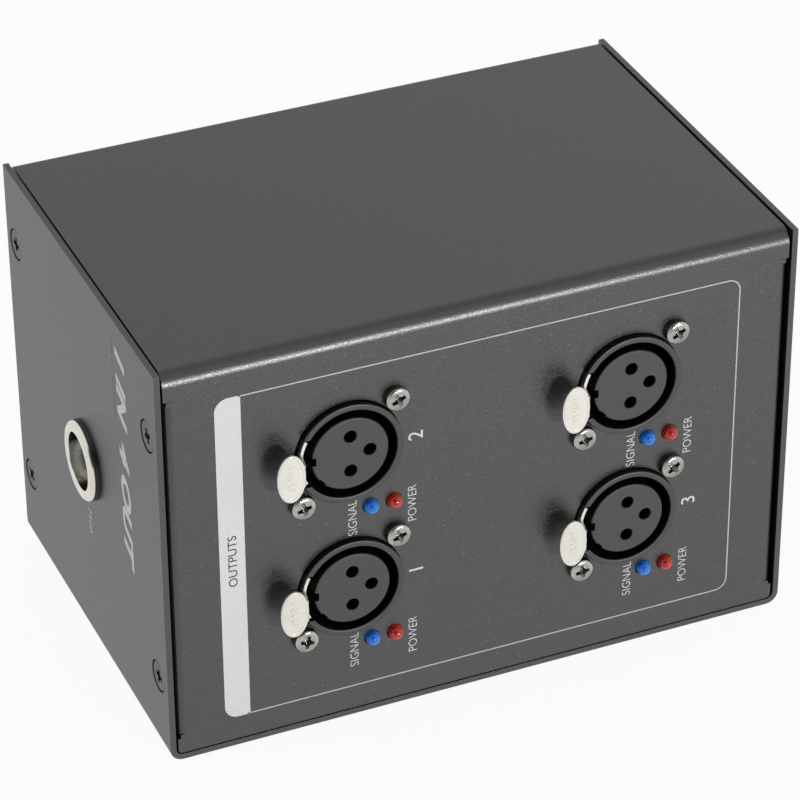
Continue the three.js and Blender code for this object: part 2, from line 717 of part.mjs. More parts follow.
function contactPlaces() {
  return [
    [-CONTACT_SPREAD, 0],
    [CONTACT_SPREAD, 0],
    [0, -CONTACT_DROP],
  ];
}

function outputInsert() {
  const radius = INSERT / 2;
  const boss = INSERT_BOSS / 2;
  const face = BARREL_PROUD - INSERT_SINK;
  const seat = -BARREL_FLOOR + SEAT_GAP;
  const end = -BARREL_FLOOR - INSERT_BOSS_DEPTH;
  const profile = [
    [0, end],
    [boss, end],
    [boss, seat],
    [radius, seat],
    [radius, face - INSERT_EDGE],
    [radius - INSERT_EDGE, face],
    [0, face],
  ];
  const key = KEY_WIDTH / 2;
  const nick = NICK_WIDTH / 2;
  const nickCutter = block([-nick, nick], [radius - NICK_DEPTH, radius + OVERRUN], [seat, face + OVERRUN]);
  const body = cut(
    turned(profile, ROUND_STEPS),
    block([-key, key], [radius - KEY_DEPTH, radius + OVERRUN], [seat, face + OVERRUN]),
    nickCutter.rotateZ(THREE.MathUtils.degToRad(NICK_TURN)),
    ...contactPlaces().map(([x, y]) => rod(SOCKET, face - SOCKET_DEPTH, face + OVERRUN, x, y)),
  );
  return join(body, ...contactTails());
}

// A stretch of a ring centred on the y axis, between two radii.
function ringSector(inner, outer, halfTurn) {
  const half = THREE.MathUtils.degToRad(halfTurn);
  return [
    ...arc(0, 0, outer, QUARTER - half, QUARTER + half),
    ...arc(0, 0, inner, QUARTER + half, QUARTER - half),
  ];
}

function tabOutline() {
  const shape = new THREE.Shape();
  shape.absellipse(0, TAB_CENTRE, TAB_WIDTH / 2, TAB_HEIGHT / 2, 0, 4 * QUARTER);
  return shape;
}

function releaseLever() {
  const outer = LEVER_INNER + LEVER_THICKNESS;
  const top = BARREL_PROUD - LEVER_SINK;
  const tabBack = TAB_PROUD - LEVER_THICKNESS;
  const neck = TAB_NECK / 2;
  const pin = PIVOT_PIN / 2;
  const catchHalf = CATCH_WIDTH / 2;
  const catchBase = LEVER_INNER + LEVER_THICKNESS / 2;
  const catchTop = -CATCH_START;
  const catchOutline = [
    new THREE.Vector2(catchBase, catchTop),
    new THREE.Vector2(LEVER_INNER - CATCH_HEIGHT, catchTop - CATCH_LENGTH + CATCH_LAND),
    new THREE.Vector2(LEVER_INNER - CATCH_HEIGHT, catchTop - CATCH_LENGTH),
    new THREE.Vector2(catchBase, catchTop - CATCH_LENGTH),
  ];
  const neckOutline = [
    new THREE.Vector2(LEVER_INNER, top - pin),
    new THREE.Vector2(outer, top - pin),
    new THREE.Vector2(TAB_FOLD + LEVER_THICKNESS, tabBack),
    new THREE.Vector2(TAB_CENTRE, tabBack),
    new THREE.Vector2(TAB_CENTRE, TAB_PROUD),
    new THREE.Vector2(TAB_FOLD, TAB_PROUD),
  ];
  const across = frameOf(Y_AXIS, Z_AXIS, X_AXIS);
  const pivot = rod(PIVOT_PIN, -PIVOT_LENGTH / 2, PIVOT_LENGTH / 2);
  return join(
    prism(ringSector(LEVER_INNER, outer, LEVER_HALF_TURN), -PIVOT_DEPTH, top),
    prism(neckOutline, -neck, neck).applyMatrix4(across),
    prism(tabOutline(), tabBack, TAB_PROUD, SMALL_STEPS),
    prism(catchOutline, -catchHalf, catchHalf).applyMatrix4(across),
    pivot.applyMatrix4(frameOf(Y_AXIS, Z_AXIS, X_AXIS, 0, PIVOT_HEIGHT, -PIVOT_DEPTH)),
  );
}

function lamp() {
  const radius = LAMP / 2;
  const rim = LAMP_RIM / 2;
  const bottom = -SHEET - LAMP_RIM_THICKNESS;
  const domeCentre = -SHEET + LAMP_LENGTH - radius;
  const dome = arc(0, domeCentre, radius, 0, QUARTER).map((point) => [point.x, point.y]);
  dome[dome.length - 1][0] = 0;
  const profile = [[0, bottom], [rim, bottom], [rim, -SHEET], [radius, -SHEET], ...dome];
  const leg = LAMP_LEG / 2;
  const legs = [-1, 1].map((end) => {
    const y = end * LAMP_LEG_SPREAD;
    return block([-leg, leg], [y - leg, y + leg], [-BOARD_DEPTH, bottom + LAMP_RIM_THICKNESS / 2]);
  });
  return join(turned(profile), ...legs);
}

function addOutput({ number, x, z }) {
  const group = groupAt(frontFrame(x, z));
  addPiece(group, `output_housing_${number}`, outputHousing(), blackPlastic);
  addPiece(group, `output_insert_${number}`, outputInsert(), insertPlastic);
  addPiece(group, `latch_${number}`, releaseLever(), nickel);
  addScrewPair(group, `output_screw_${number}`);
  addLamp(group, `signal_lamp_${number}`, SIGNAL_LAMP_DROP, blueLens);
  addLamp(group, `power_lamp_${number}`, POWER_LAMP_DROP, redLens);
  splitter.add(group);
}

function addScrewPair(group, name) {
  const places = [
    ["a", SCREW_OFFSET, -SCREW_OFFSET],
    ["b", -SCREW_OFFSET, SCREW_OFFSET],
  ];
  for (const [letter, x, y] of places) {
    const screw = new THREE.Group();
    screw.position.set(x, y, 0);
    addPiece(screw, `${name}${letter}`, panScrew(PAN_HEAD, PAN_LENGTH), nickel);
    group.add(screw);
  }
}

function addLamp(group, name, drop, material) {
  const place = new THREE.Group();
  place.position.set(-LAMP_SIDE, -drop, 0);
  addPiece(place, name, lamp(), material);
  group.add(place);
}

// Boards and what hangs on them

function outputBoard() {
  const x = [LEFT_COLUMN - OUTPUT_BOARD_MARGIN, RIGHT_COLUMN + OUTPUT_BOARD_MARGIN];
  const z = [LOW_ROW - OUTPUT_BOARD_MARGIN - SHEET, HIGH_ROW + OUTPUT_BOARD_MARGIN - SHEET];
  const front = -FACE + BOARD_DEPTH;
  const half = TAIL / 2 + TAIL_HOLE_GAP;
  const depth = [-BOARD_DEPTH - BOARD - OVERRUN, -BOARD_DEPTH + OVERRUN];
  const holes = OUTPUTS.flatMap((output) =>
    contactPlaces().map(([u, v]) => {
      const hole = block([u - half, u + half], [v - half, v + half], depth);
      return hole.applyMatrix4(frontFrame(output.x, output.z));
    }),
  );
  return cut(block(x, [front, front + BOARD], z), ...holes);
}

function boardScrewHole({ x, y }) {
  const hole = PAN_SHANK + 2 * HOLE_CLEARANCE;
  return rod(hole, MAIN_BOARD_UNDERSIDE - OVERRUN, MAIN_BOARD_TOP + OVERRUN, x, y);
}

function mainBoard() {
  const half = MAIN_BOARD_DEPTH / 2;
  const sheet = block(
    [MAIN_BOARD_LEFT, MAIN_BOARD_RIGHT],
    [-half, half],
    [MAIN_BOARD_UNDERSIDE, MAIN_BOARD_TOP],
  );
  const into = MAIN_BOARD_UNDERSIDE + BOARD / 2;
  const chips = Array.from({ length: CHIP_COUNT }, (_, i) => {
    const x = CHIP_LEFT + i * CHIP_PITCH;
    return block(
      [x - CHIP_WIDTH / 2, x + CHIP_WIDTH / 2],
      [CHIP_Y - CHIP_LENGTH / 2, CHIP_Y + CHIP_LENGTH / 2],
      [MAIN_BOARD_UNDERSIDE - CHIP_HEIGHT, into],
    );
  });
  const terminal = block(
    [TERMINAL_X - TERMINAL_LENGTH / 2, TERMINAL_X + TERMINAL_LENGTH / 2],
    [TERMINAL_Y - TERMINAL_DEPTH / 2, TERMINAL_Y + TERMINAL_DEPTH / 2],
    [MAIN_BOARD_UNDERSIDE - TERMINAL_HEIGHT, into],
  );
  const can = rod(CAPACITOR, MAIN_BOARD_UNDERSIDE - CAPACITOR_HEIGHT, into, CAPACITOR_X, CAPACITOR_Y);
  return cut(join(sheet, ...chips, terminal, can), ...STANDOFFS.map(boardScrewHole));
}

function standoff() {
  const top = MAIN_BOARD_TOP + STANDOFF;
  const acrossCorners = STANDOFF_WIDTH / Math.cos(Math.PI / STANDOFF_SIDES);
  const hexagon = rod(acrossCorners, MAIN_BOARD_TOP, top, 0, 0, STANDOFF_SIDES);
  return cut(hexagon, rod(STANDOFF_BORE, MAIN_BOARD_TOP - OVERRUN, top - SHEET));
}

function addStandoff({ name, x, y }) {
  const group = new THREE.Group();
  group.position.set(x, y, 0);
  addPiece(group, `standoff_${name}`, standoff(), steel);
  const screw = groupAt(frameOf(X_AXIS, MINUS_Y, MINUS_Z, 0, 0, MAIN_BOARD_UNDERSIDE));
  addPiece(screw, `board_screw_${name}`, panScrew(PAN_HEAD, BOARD + STANDOFF / 2), steel);
  group.add(screw);
  splitter.add(group);
}

function transformer() {
  const x = TRANSFORMER_X;
  const y = TRANSFORMER_Y;
  const top = MAIN_BOARD_UNDERSIDE - SEAT_GAP;
  const middle = top - TRANSFORMER_HEIGHT / 2;
  const core = block(
    [x - TRANSFORMER_WIDTH / 2, x + TRANSFORMER_WIDTH / 2],
    [y - TRANSFORMER_DEPTH / 2, y + TRANSFORMER_DEPTH / 2],
    [top - TRANSFORMER_HEIGHT, top],
  );
  const coil = block(
    [x - COIL_WIDTH / 2, x + COIL_WIDTH / 2],
    [y - TRANSFORMER_REACH, y + TRANSFORMER_REACH],
    [middle - COIL_HEIGHT / 2, middle + COIL_HEIGHT / 2],
  );
  return join(core, coil);
}

// A flat flexible link from the back of the output board up to the main board.
function boardLink() {
  const top = MAIN_BOARD_UNDERSIDE - LEAD_GAP;
  const bottom = top - LINK_DROP;
  const outer = LINK_BEND;
  const inner = LINK_BEND - LINK_THICKNESS;
  const end = LINK_END;
  const outline = [
    new THREE.Vector2(LINK_START, bottom),
    ...arc(end - outer, bottom + outer, outer, 3 * QUARTER, 4 * QUARTER),
    new THREE.Vector2(end, top),
    new THREE.Vector2(end - LINK_THICKNESS, top),
    ...arc(end - outer, bottom + outer, inner, 4 * QUARTER, 3 * QUARTER),
    new THREE.Vector2(LINK_START, bottom + LINK_THICKNESS),
  ];
  const ribbon = prism(outline, LINK_X - LINK_WIDTH / 2, LINK_X + LINK_WIDTH / 2);
  return ribbon.applyMatrix4(frameOf(Y_AXIS, Z_AXIS, X_AXIS));
}

// Input connector

function inputHousing() {
  const key = CUP_KEY_WIDTH / 2;
  const radius = CUP_BORE / 2;
  return cut(
    connectorBody(CUP_BORE, CUP_DEPTH),
    rod(INSERT_BOSS + 2 * SEAT_GAP, -BOARD_DEPTH, 0, 0, 0, ROUND_STEPS),
    block([-key, key], [0, radius + CUP_KEY_DEPTH], [-CUP_DEPTH, BARREL_PROUD + OVERRUN]),
  );
}

function inputInsert() {
  const radius = CUP_BORE / 2 - SEAT_GAP;
  const boss = INSERT_BOSS / 2;
  const seat = -CUP_DEPTH + SEAT_GAP;
  const end = -CUP_DEPTH - INSERT_BOSS_DEPTH;
  const profile = [
    [0, end],
    [boss, end],
    [boss, seat],
    [radius, seat],
    [radius, seat + PIN_DISC_THICKNESS],
    [0, seat + PIN_DISC_THICKNESS],
  ];
  const pinTop = BARREL_PROUD - PIN_SINK;
  const pins = contactPlaces().map(([x, y]) => rod(PIN, seat, pinTop, x, y));
  const half = TAIL / 2;
  const tails = contactPlaces().map(([x, y]) =>
    block([x - half, x + half], [y - half, y + half], [-BOARD_DEPTH, end + PIN_DISC_THICKNESS]),
  );
  return join(turned(profile, ROUND_STEPS), ...pins, ...tails);
}

function addInput() {
  const group = groupAt(backFrame(INPUT_X, REAR_Z));
  addPiece(group, "input_housing", inputHousing(), blackPlastic);
  addPiece(group, "input_insert", inputInsert(), steel);
  addScrewPair(group, "input_screw_");
  splitter.add(group);
}

// Mains inlet with its fuse drawer

function socketOutline() {
  const half = SOCKET_WIDTH / 2;
  const low = SOCKET_CENTRE - SOCKET_HEIGHT / 2;
  const high = SOCKET_CENTRE + SOCKET_HEIGHT / 2;
  return [
    new THREE.Vector2(-half, low),
    new THREE.Vector2(half, low),
    new THREE.Vector2(half, high - SOCKET_CHAMFER),
    new THREE.Vector2(half - SOCKET_CHAMFER, high),
    new THREE.Vector2(-half + SOCKET_CHAMFER, high),
    new THREE.Vector2(-half, high - SOCKET_CHAMFER),
  ];
}

function bladePlaces() {
  return [
    [-BLADE_SPREAD, SOCKET_CENTRE - EARTH_RISE],
    [BLADE_SPREAD, SOCKET_CENTRE - EARTH_RISE],
    [0, SOCKET_CENTRE + EARTH_RISE],
  ];
}

function inletBody() {
  const bezel = roundedRectangle(
    -BEZEL_WIDTH / 2,
    BEZEL_WIDTH / 2,
    -BEZEL_HEIGHT / 2,
    BEZEL_HEIGHT / 2,
    BEZEL_CORNER,
  );
  const width = INLET_BODY_WIDTH / 2;
  const height = INLET_BODY_HEIGHT / 2;
  const back = -INLET_BODY_DEPTH;
  const whole = join(
    prism(bezel, 0, BEZEL_THICKNESS),
    block([-width, width], [-height, height], [back, BEZEL_THICKNESS / 2]),
  );
  const drawerWidth = DRAWER_WIDTH / 2 + DRAWER_GAP;
  const drawerHeight = DRAWER_HEIGHT / 2 + DRAWER_GAP;
  const drawerBack = BEZEL_THICKNESS + DRAWER_PROUD - DRAWER_LENGTH - DRAWER_GAP;
  const screw = PAN_SHANK + 2 * HOLE_CLEARANCE;
  const hollowed = cut(
    whole,
    prism(socketOutline(), BEZEL_THICKNESS - SOCKET_RECESS, BEZEL_THICKNESS + OVERRUN),
    block(
      [-drawerWidth, drawerWidth],
      [DRAWER_CENTRE - drawerHeight, DRAWER_CENTRE + drawerHeight],
      [drawerBack, BEZEL_THICKNESS + OVERRUN],
    ),
    rod(screw, -OVERRUN, BEZEL_THICKNESS + OVERRUN, INLET_SCREW_SPACING / 2, 0),
    rod(screw, -OVERRUN, BEZEL_THICKNESS + OVERRUN, -INLET_SCREW_SPACING / 2, 0),
  );
  const floor = BEZEL_THICKNESS - SOCKET_RECESS;
  const blades = bladePlaces().map(([x, y]) =>
    block(
      [x - BLADE_WIDTH / 2, x + BLADE_WIDTH / 2],
      [y - BLADE_HEIGHT / 2, y + BLADE_HEIGHT / 2],
      [floor - BLADE_WIDTH, BEZEL_THICKNESS - BLADE_SINK],
    ),
  );
  const tabs = bladePlaces().map(([x, y]) =>
    block(
      [x - TERMINAL_TAB_THICKNESS / 2, x + TERMINAL_TAB_THICKNESS / 2],
      [y - TERMINAL_TAB_WIDTH / 2, y + TERMINAL_TAB_WIDTH / 2],
      [back - TERMINAL_TAB_LENGTH, back + TERMINAL_TAB_THICKNESS],
    ),
  );
  return join(hollowed, ...blades, ...tabs);
}

function fuseDrawer() {
  const half = DRAWER_WIDTH / 2;
  const height = DRAWER_HEIGHT / 2;
  const front = BEZEL_THICKNESS + DRAWER_PROUD;
  const back = front - DRAWER_LENGTH;
  const grip = DRAWER_GRIP_WIDTH / 2;
  const gripTop = DRAWER_CENTRE + height;
  const bed = FUSE_LENGTH / 2 + FUSE_GAP;
  const bedHeight = FUSE / 2 + FUSE_GAP;
  const fuseMiddle = front - FUSE_DEPTH;
  return cut(
    block([-half, half], [DRAWER_CENTRE - height, DRAWER_CENTRE + height], [back, front]),
    block(
      [-grip, grip],
      [gripTop - DRAWER_GRIP_HEIGHT, gripTop + OVERRUN],
      [front - DRAWER_GRIP_DEPTH, front + OVERRUN],
    ),
    block(
      [-bed, bed],
      [DRAWER_CENTRE - height + DRAWER_WALL, gripTop + OVERRUN],
      [fuseMiddle - bedHeight, fuseMiddle + bedHeight],
    ),
  );
}

function fuse() {
  const half = FUSE_LENGTH / 2;
  const cap = FUSE / 2;
  const glass = FUSE_GLASS / 2;
  const shoulder = half - FUSE_CAP_LENGTH;
  const profile = [
    [0, -half],
    [cap, -half],
    [cap, -shoulder],
    [glass, -shoulder],
    [glass, shoulder],
    [cap, shoulder],
    [cap, half],
    [0, half],
  ];
  const y = DRAWER_CENTRE - DRAWER_HEIGHT / 2 + DRAWER_WALL + FUSE_GAP + cap;
  const z = BEZEL_THICKNESS + DRAWER_PROUD - FUSE_DEPTH;
  return turned(profile).applyMatrix4(frameOf(Y_AXIS, Z_AXIS, X_AXIS, 0, y, z));
}

function addInlet() {
  const group = groupAt(backFrame(INLET_X, REAR_Z));
  addPiece(group, "inlet_body", inletBody(), blackPlastic);
  addPiece(group, "fuse_drawer", fuseDrawer(), blackPlastic);
  addPiece(group, "mains_fuse", fuse(), fuseGlass);
  const places = [
    ["a", INLET_SCREW_SPACING / 2],
    ["b", -INLET_SCREW_SPACING / 2],
  ];
  for (const [letter, x] of places) {
    const screw = new THREE.Group();
    screw.position.set(x, 0, BEZEL_THICKNESS);
    addPiece(screw, `inlet_screw_${letter}`, panScrew(INLET_SCREW_HEAD, PAN_LENGTH), blackZinc);
    group.add(screw);
  }
  splitter.add(group);
}

// Inner leads, each one sleeve on a smooth curve

function lead(points, diameter) {
  const section = new THREE.Shape(arc(0, 0, diameter / 2, 0, 4 * QUARTER, LEAD_SIDES).slice(1));
  const path = new THREE.CatmullRomCurve3(points.map(([x, y, z]) => new THREE.Vector3(x, y, z)));
  return new THREE.ExtrudeGeometry(section, { steps: LEAD_STEPS, extrudePath: path });
}

function mainsLead() {
  const x = INLET_X - SOCKET_CENTRE;
  const start = FACE - INLET_BODY_DEPTH - TERMINAL_TAB_LENGTH - LEAD_GAP;
  const end = MAIN_BOARD_UNDERSIDE - TERMINAL_HEIGHT - LEAD_GAP;
  const middle = (REAR_Z + end) / 2;
  return lead(
    [
      [x, start, REAR_Z],
      [x, start - LEAD_RUN_OUT / 2, REAR_Z],
      [(x + TERMINAL_X) / 2, start - LEAD_RUN_OUT, middle],
      [TERMINAL_X, TERMINAL_Y, end - LEAD_RUN_OUT],
      [TERMINAL_X, TERMINAL_Y, end],
    ],
    MAINS_LEAD,
  );
}

function inputLead() {
  const start = FACE - BOARD_DEPTH - LEAD_GAP;
  const end = MAIN_BOARD_UNDERSIDE - LEAD_GAP;
  const x = INPUT_LEAD_X;
  return lead(
    [
      [INPUT_X, start, REAR_Z],
      [INPUT_X, start - LEAD_RUN_OUT / 2, REAR_Z],
      [x, start - LEAD_RUN_OUT, REAR_Z + INPUT_LEAD_RISE],
      [x, start - LEAD_RUN_OUT / 2, end - LEAD_RUN_OUT],
      [x, start - LEAD_RUN_OUT / 2, end],
    ],
    INPUT_LEAD,
  );
}

// Assembly

addPiece(splitter, "chassis_shell", chassisShell(), boxPaint);
addPiece(splitter, "cover_shell", coverShell(), boxPaint);

const bushing = groupAt(sideFrame(-1, 0, BOX_HEIGHT / 2));
addPiece(bushing, "hanging_bushing", hangingBushing(), nickel);
splitter.add(bushing);

for (const { side, end, y, z } of coverScrewPlaces) {
  const sideName = side < 0 ? "left" : "right";
  const endName = end < 0 ? "front" : "back";
  const heightName = z === COVER_SCREW_LOW ? "low" : "high";
  const group = groupAt(sideFrame(side, y, z));
  addPiece(group, `cover_screw_${sideName}_${endName}_${heightName}`, coverScrew(), blackZinc);
  splitter.add(group);
}

OUTPUTS.forEach(addOutput);
addPiece(splitter, "output_board", outputBoard(), boardGreen);
addPiece(splitter, "main_board", mainBoard(), boardGreen);
STANDOFFS.forEach(addStandoff);
addPiece(splitter, "mains_transformer", transformer(), coilYellow);
addPiece(splitter, "board_link", boardLink(), leadGrey);
addInput();
addInlet();
addPiece(splitter, "mains_lead", mainsLead(), leadGrey);
addPiece(splitter, "input_lead", inputLead(), leadGrey);

export default splitter;
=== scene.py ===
import math

import bmesh
import bpy
from mathutils import Matrix, Vector


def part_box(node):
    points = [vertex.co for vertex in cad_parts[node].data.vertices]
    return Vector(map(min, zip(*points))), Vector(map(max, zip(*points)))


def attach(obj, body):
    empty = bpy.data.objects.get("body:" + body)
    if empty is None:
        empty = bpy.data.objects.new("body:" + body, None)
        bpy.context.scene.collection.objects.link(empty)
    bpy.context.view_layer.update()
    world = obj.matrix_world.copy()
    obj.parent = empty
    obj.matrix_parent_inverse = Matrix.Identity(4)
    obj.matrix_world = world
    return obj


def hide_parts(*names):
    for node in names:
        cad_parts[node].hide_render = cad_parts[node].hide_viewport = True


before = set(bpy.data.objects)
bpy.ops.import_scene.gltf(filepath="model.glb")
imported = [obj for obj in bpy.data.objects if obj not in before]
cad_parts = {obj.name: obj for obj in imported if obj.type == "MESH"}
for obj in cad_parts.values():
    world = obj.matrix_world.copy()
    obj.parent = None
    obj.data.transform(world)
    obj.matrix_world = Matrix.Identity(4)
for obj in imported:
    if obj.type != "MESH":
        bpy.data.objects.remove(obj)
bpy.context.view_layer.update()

MM = 0.001
TURN = 2 * math.pi
QUARTER = TURN / 4
OUTPUTS = (1, 2, 3, 4)

# Facets
ROUND_STEPS = 96
HOLE_STEPS = 48
SCREW_STEPS = 48
ARC_STEPS = 8
FILLET_STEPS = 5
SMOOTH_ANGLE = 35
HOLD = 0.03
HOLD_FROM = 0.3
WELD = 0.001
FLAT_ANGLE = 0.5

# Camera, at the photograph's viewing angle
CAMERA_AZIMUTH = 23.079
CAMERA_ELEVATION = 32.911
CAMERA_ROLL = -0.379
CAMERA_PLACE = (-257.124, -605.424, 466.334)
CAMERA_VIEW = 11.7537

# Lights
STUDIO_LEVEL = 0.78
DARK_ZONES = (
    ((-0.33, -0.77, 0.54), 0.8, 0.97, 0.1),
    ((0.3, -0.05, 0.95), 0.86, 0.99, 0.45),
    ((0.2, 0.82, 0.53), 0.93, 1.0, 0.56),
)
LAMP_AIM = (0, -20, 50)
LAMP_DISTANCE = 1400
KEY_DIRECTION = (0.272, -0.962, 0)
KEY_WIDTH = 320
KEY_HEIGHT = 70
KEY_POWER = 9.0
FLOOR_SIZE = 6000
FLOOR_GLOW_SHARE = 0.93
FLOOR_GLOSS_GLOW = 0.81


# Places that the frame gives

def corners(node):
    """A CAD node's lowest and highest corners."""
    low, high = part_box(node)
    return low / MM, high / MM


chassis_low, chassis_high = corners("chassis_shell")
cover_low, cover_high = corners("cover_shell")
FACE = chassis_low.y
BACK = chassis_high.y
TOP = chassis_high.z
LEFT = cover_low.x
RIGHT = cover_high.x


def offset(x, y, z=0):
    return Matrix.Translation(Vector((x, y, z)) * MM)


def basis(x_axis, y_axis, z_axis, place):
    rotation = Matrix((x_axis, y_axis, z_axis)).transposed()
    return offset(*place) @ rotation.to_4x4()


def sideways(place=(0, 0, 0)):
    """A drawing turned so that its height runs along x."""
    return basis((0, 1, 0), (0, 0, 1), (1, 0, 0), place)


def front_frame(x, z):
    """On the output panel: z points out of it and y to the left, as its words stand."""
    return basis((0, 0, 1), (-1, 0, 0), (0, -1, 0), (x, FACE, z))


def back_frame(x, z):
    return basis((0, 0, -1), (-1, 0, 0), (0, 1, 0), (x, BACK, z))


def left_frame(y, z):
    """On the left plate: z points out of it and y to the front, as its words stand."""
    return basis((0, 0, -1), (0, -1, 0), (-1, 0, 0), (LEFT, y, z))


def right_frame(y, z):
    return basis((0, 1, 0), (0, 0, 1), (1, 0, 0), (RIGHT, y, z))


def shifted(place, x, y, z=0):
    return place @ offset(x, y, z)


def turned(place, degrees):
    return place @ Matrix.Rotation(math.radians(degrees), 4, "Z")


def middle(node):
    low, high = corners(node)
    return (low + high) / 2


# Meshes

def new_object(name, mesh):
    obj = bpy.data.objects.new(name, mesh)
    bpy.context.scene.collection.objects.link(obj)
    return obj


def mesh_of(verts, faces, name="shape"):
    mesh = bpy.data.meshes.new(name)
    mesh.from_pydata([Vector(vert) * MM for vert in verts], [], faces)
    tidy = bmesh.new()
    tidy.from_mesh(mesh)
    bmesh.ops.recalc_face_normals(tidy, faces=tidy.faces)
    tidy.to_mesh(mesh)
    tidy.free()
    return mesh


def arc(x, y, radius, start, end, steps=ARC_STEPS):
    points = []
    for i in range(steps + 1):
        angle = start + (end - start) * i / steps
        points.append((x + radius * math.cos(angle), y + radius * math.sin(angle)))
    return points


def rounded_rectangle(x0, x1, y0, y1, radius):
    return [
        *arc(x1 - radius, y1 - radius, radius, 0, QUARTER),
        *arc(x0 + radius, y1 - radius, radius, QUARTER, 2 * QUARTER),
        *arc(x0 + radius, y0 + radius, radius, 2 * QUARTER, 3 * QUARTER),
        *arc(x1 - radius, y0 + radius, radius, 3 * QUARTER, TURN),
    ]


def revolved(profile, steps=ROUND_STEPS, closed=False):
    """A profile of (radius, height) turned about z. A closed one is a ring."""
    verts = []
    rings = []
    for radius, height in profile:
        count = steps if radius > 0 else 1
        rings.append(range(len(verts), len(verts) + count))
        for i in range(count):
            angle = TURN * i / steps
            verts.append((radius * math.cos(angle), radius * math.sin(angle), height))
    if closed:
        rings.append(rings[0])
    faces = []
    for lower, upper in zip(rings, rings[1:]):
        for i in range(steps):
            j = (i + 1) % steps
            ring = [lower[i % len(lower)], lower[j % len(lower)]]
            ring += [upper[j % len(upper)], upper[i % len(upper)]]
            face = list(dict.fromkeys(ring))
            if len(face) > 2:
                faces.append(face)
    return mesh_of(verts, faces)


def standing(outline, low, high):
    """A flat outline stood up from one height to another."""
    count = len(outline)
    verts = [(x, y, low) for x, y in outline] + [(x, y, high) for x, y in outline]
    faces = [list(range(count)), list(range(count, 2 * count))]
    for i in range(count):
        j = (i + 1) % count
        faces.append([i, j, count + j, count + i])
    return mesh_of(verts, faces)


def block(x0, x1, y0, y1, z0, z1):
    return standing([(x0, y0), (x1, y0), (x1, y1), (x0, y1)], z0, z1)


def post(x, y, half, low, high):
    """A square column."""
    return block(x - half, x + half, y - half, y + half, low, high)


def cylinder(diameter, low, high, x=0, y=0, steps=ROUND_STEPS):
    radius = diameter / 2
    mesh = revolved([(0, low), (radius, low), (radius, high), (0, high)], steps)
    return moved(mesh, offset(x, y))


def filleted(points, steps=FILLET_STEPS):
    """A closed outline of (x, y, rounding) with its corners rounded."""
    result = []
    for i, (x, y, rounding) in enumerate(points):
        here = Vector((x, y))
        if not rounding:
            result.append((x, y))
            continue
        before = (Vector(points[i - 1][:2]) - here).normalized()
        after = (Vector(points[(i + 1) % len(points)][:2]) - here).normalized()
        half = before.angle(after) / 2
        centre = here + (before + after).normalized() * rounding / math.sin(half)
        first = here + before * rounding / math.tan(half) - centre
        last = here + after * rounding / math.tan(half) - centre
        turn = math.atan2(first.x * last.y - first.y * last.x, first.dot(last))
        for k in range(steps + 1):
            result.append(tuple(centre + Matrix.Rotation(turn * k / steps, 2) @ first))
    return result


def held(profile, closed=False):
    """A profile with a point close to each end of its long stretches, which then shade flat."""
    points = list(profile)
    result = []
    for (x0, y0), (x1, y1) in zip(points, points[1:] + points[:1] if closed else points[1:]):
        result.append((x0, y0))
        length = math.hypot(x1 - x0, y1 - y0)
        if length > HOLD_FROM:
            for share in (HOLD / length, 1 - HOLD / length):
                result.append((x0 + (x1 - x0) * share, y0 + (y1 - y0) * share))
    if not closed:
        result.append(points[-1])
    return result


def lathed(points, steps=ROUND_STEPS, closed=False):
    """A profile of (radius, height, rounding) turned about z."""
    return revolved(held(filleted(points), closed), steps, closed)


def moved(mesh, matrix):
    mesh.transform(matrix)
    return mesh


def baked(obj):
    """The object's mesh with its modifiers applied. The object goes."""
    depsgraph = bpy.context.evaluated_depsgraph_get()
    mesh = bpy.data.meshes.new_from_object(obj.evaluated_get(depsgraph))
    bpy.data.objects.remove(obj)
    return mesh


def combined(mesh, others, operation):
    obj = new_object("work", mesh)
    tools = [new_object("tool", other) for other in others]
    for tool in tools:
        step = obj.modifiers.new("combine", "BOOLEAN")
        step.operation = operation
        step.solver = "EXACT"
        step.object = tool
    result = baked(obj)
    for tool in tools:
        bpy.data.objects.remove(tool)
    return result


def joined(mesh, *others):
    return combined(mesh, others, "UNION")


def cut(mesh, *others):
    return combined(mesh, others, "DIFFERENCE")


def settled(whole):
    """A plain mesh made of a worked one, which goes."""
    result = bpy.data.meshes.new("shape")
    whole.to_mesh(result)
    whole.free()
    return result


def beside(*meshes):
    """Several meshes in one, without joining their solids."""
    whole = bmesh.new()
    for mesh in meshes:
        whole.from_mesh(mesh)
    return settled(whole)


def cleaned(mesh):
    """The same shape with its corners shared and its flat faces whole."""
    whole = bmesh.new()
    whole.from_mesh(mesh)
    bmesh.ops.remove_doubles(whole, verts=whole.verts, dist=WELD * MM)
    flat = math.radians(FLAT_ANGLE)
    bmesh.ops.dissolve_limit(whole, angle_limit=flat, verts=whole.verts, edges=whole.edges)
    return settled(whole)


def smoothed(mesh, angle=SMOOTH_ANGLE):
    """Curved walls shaded smooth, with a crease wherever the surface turns sharply."""
    mesh.shade_smooth()
    mesh.set_sharp_from_angle(angle=math.radians(angle))
    return mesh


def softened(mesh, width, segments=2):
    """Rounds the sharp edges, and shades the rest smooth with flat faces kept flat."""
    mesh.shade_smooth()
    obj = new_object("work", mesh)
    if width:
        bevel = obj.modifiers.new("bevel", "BEVEL")
        bevel.width = width * MM
        bevel.segments = segments
        bevel.limit_method = "ANGLE"
        bevel.angle_limit = math.radians(SMOOTH_ANGLE)
    weighted = obj.modifiers.new("weighted", "WEIGHTED_NORMAL")
    weighted.keep_sharp = True
    return baked(obj)


def zoned(mesh, which, *materials):
    """Several materials on one mesh. A rule tells for each face which one it gets."""
    mesh.materials.clear()
    for made in materials:
        mesh.materials.append(made)
    for face in mesh.polygons:
        face.material_index = which(face)
    return mesh


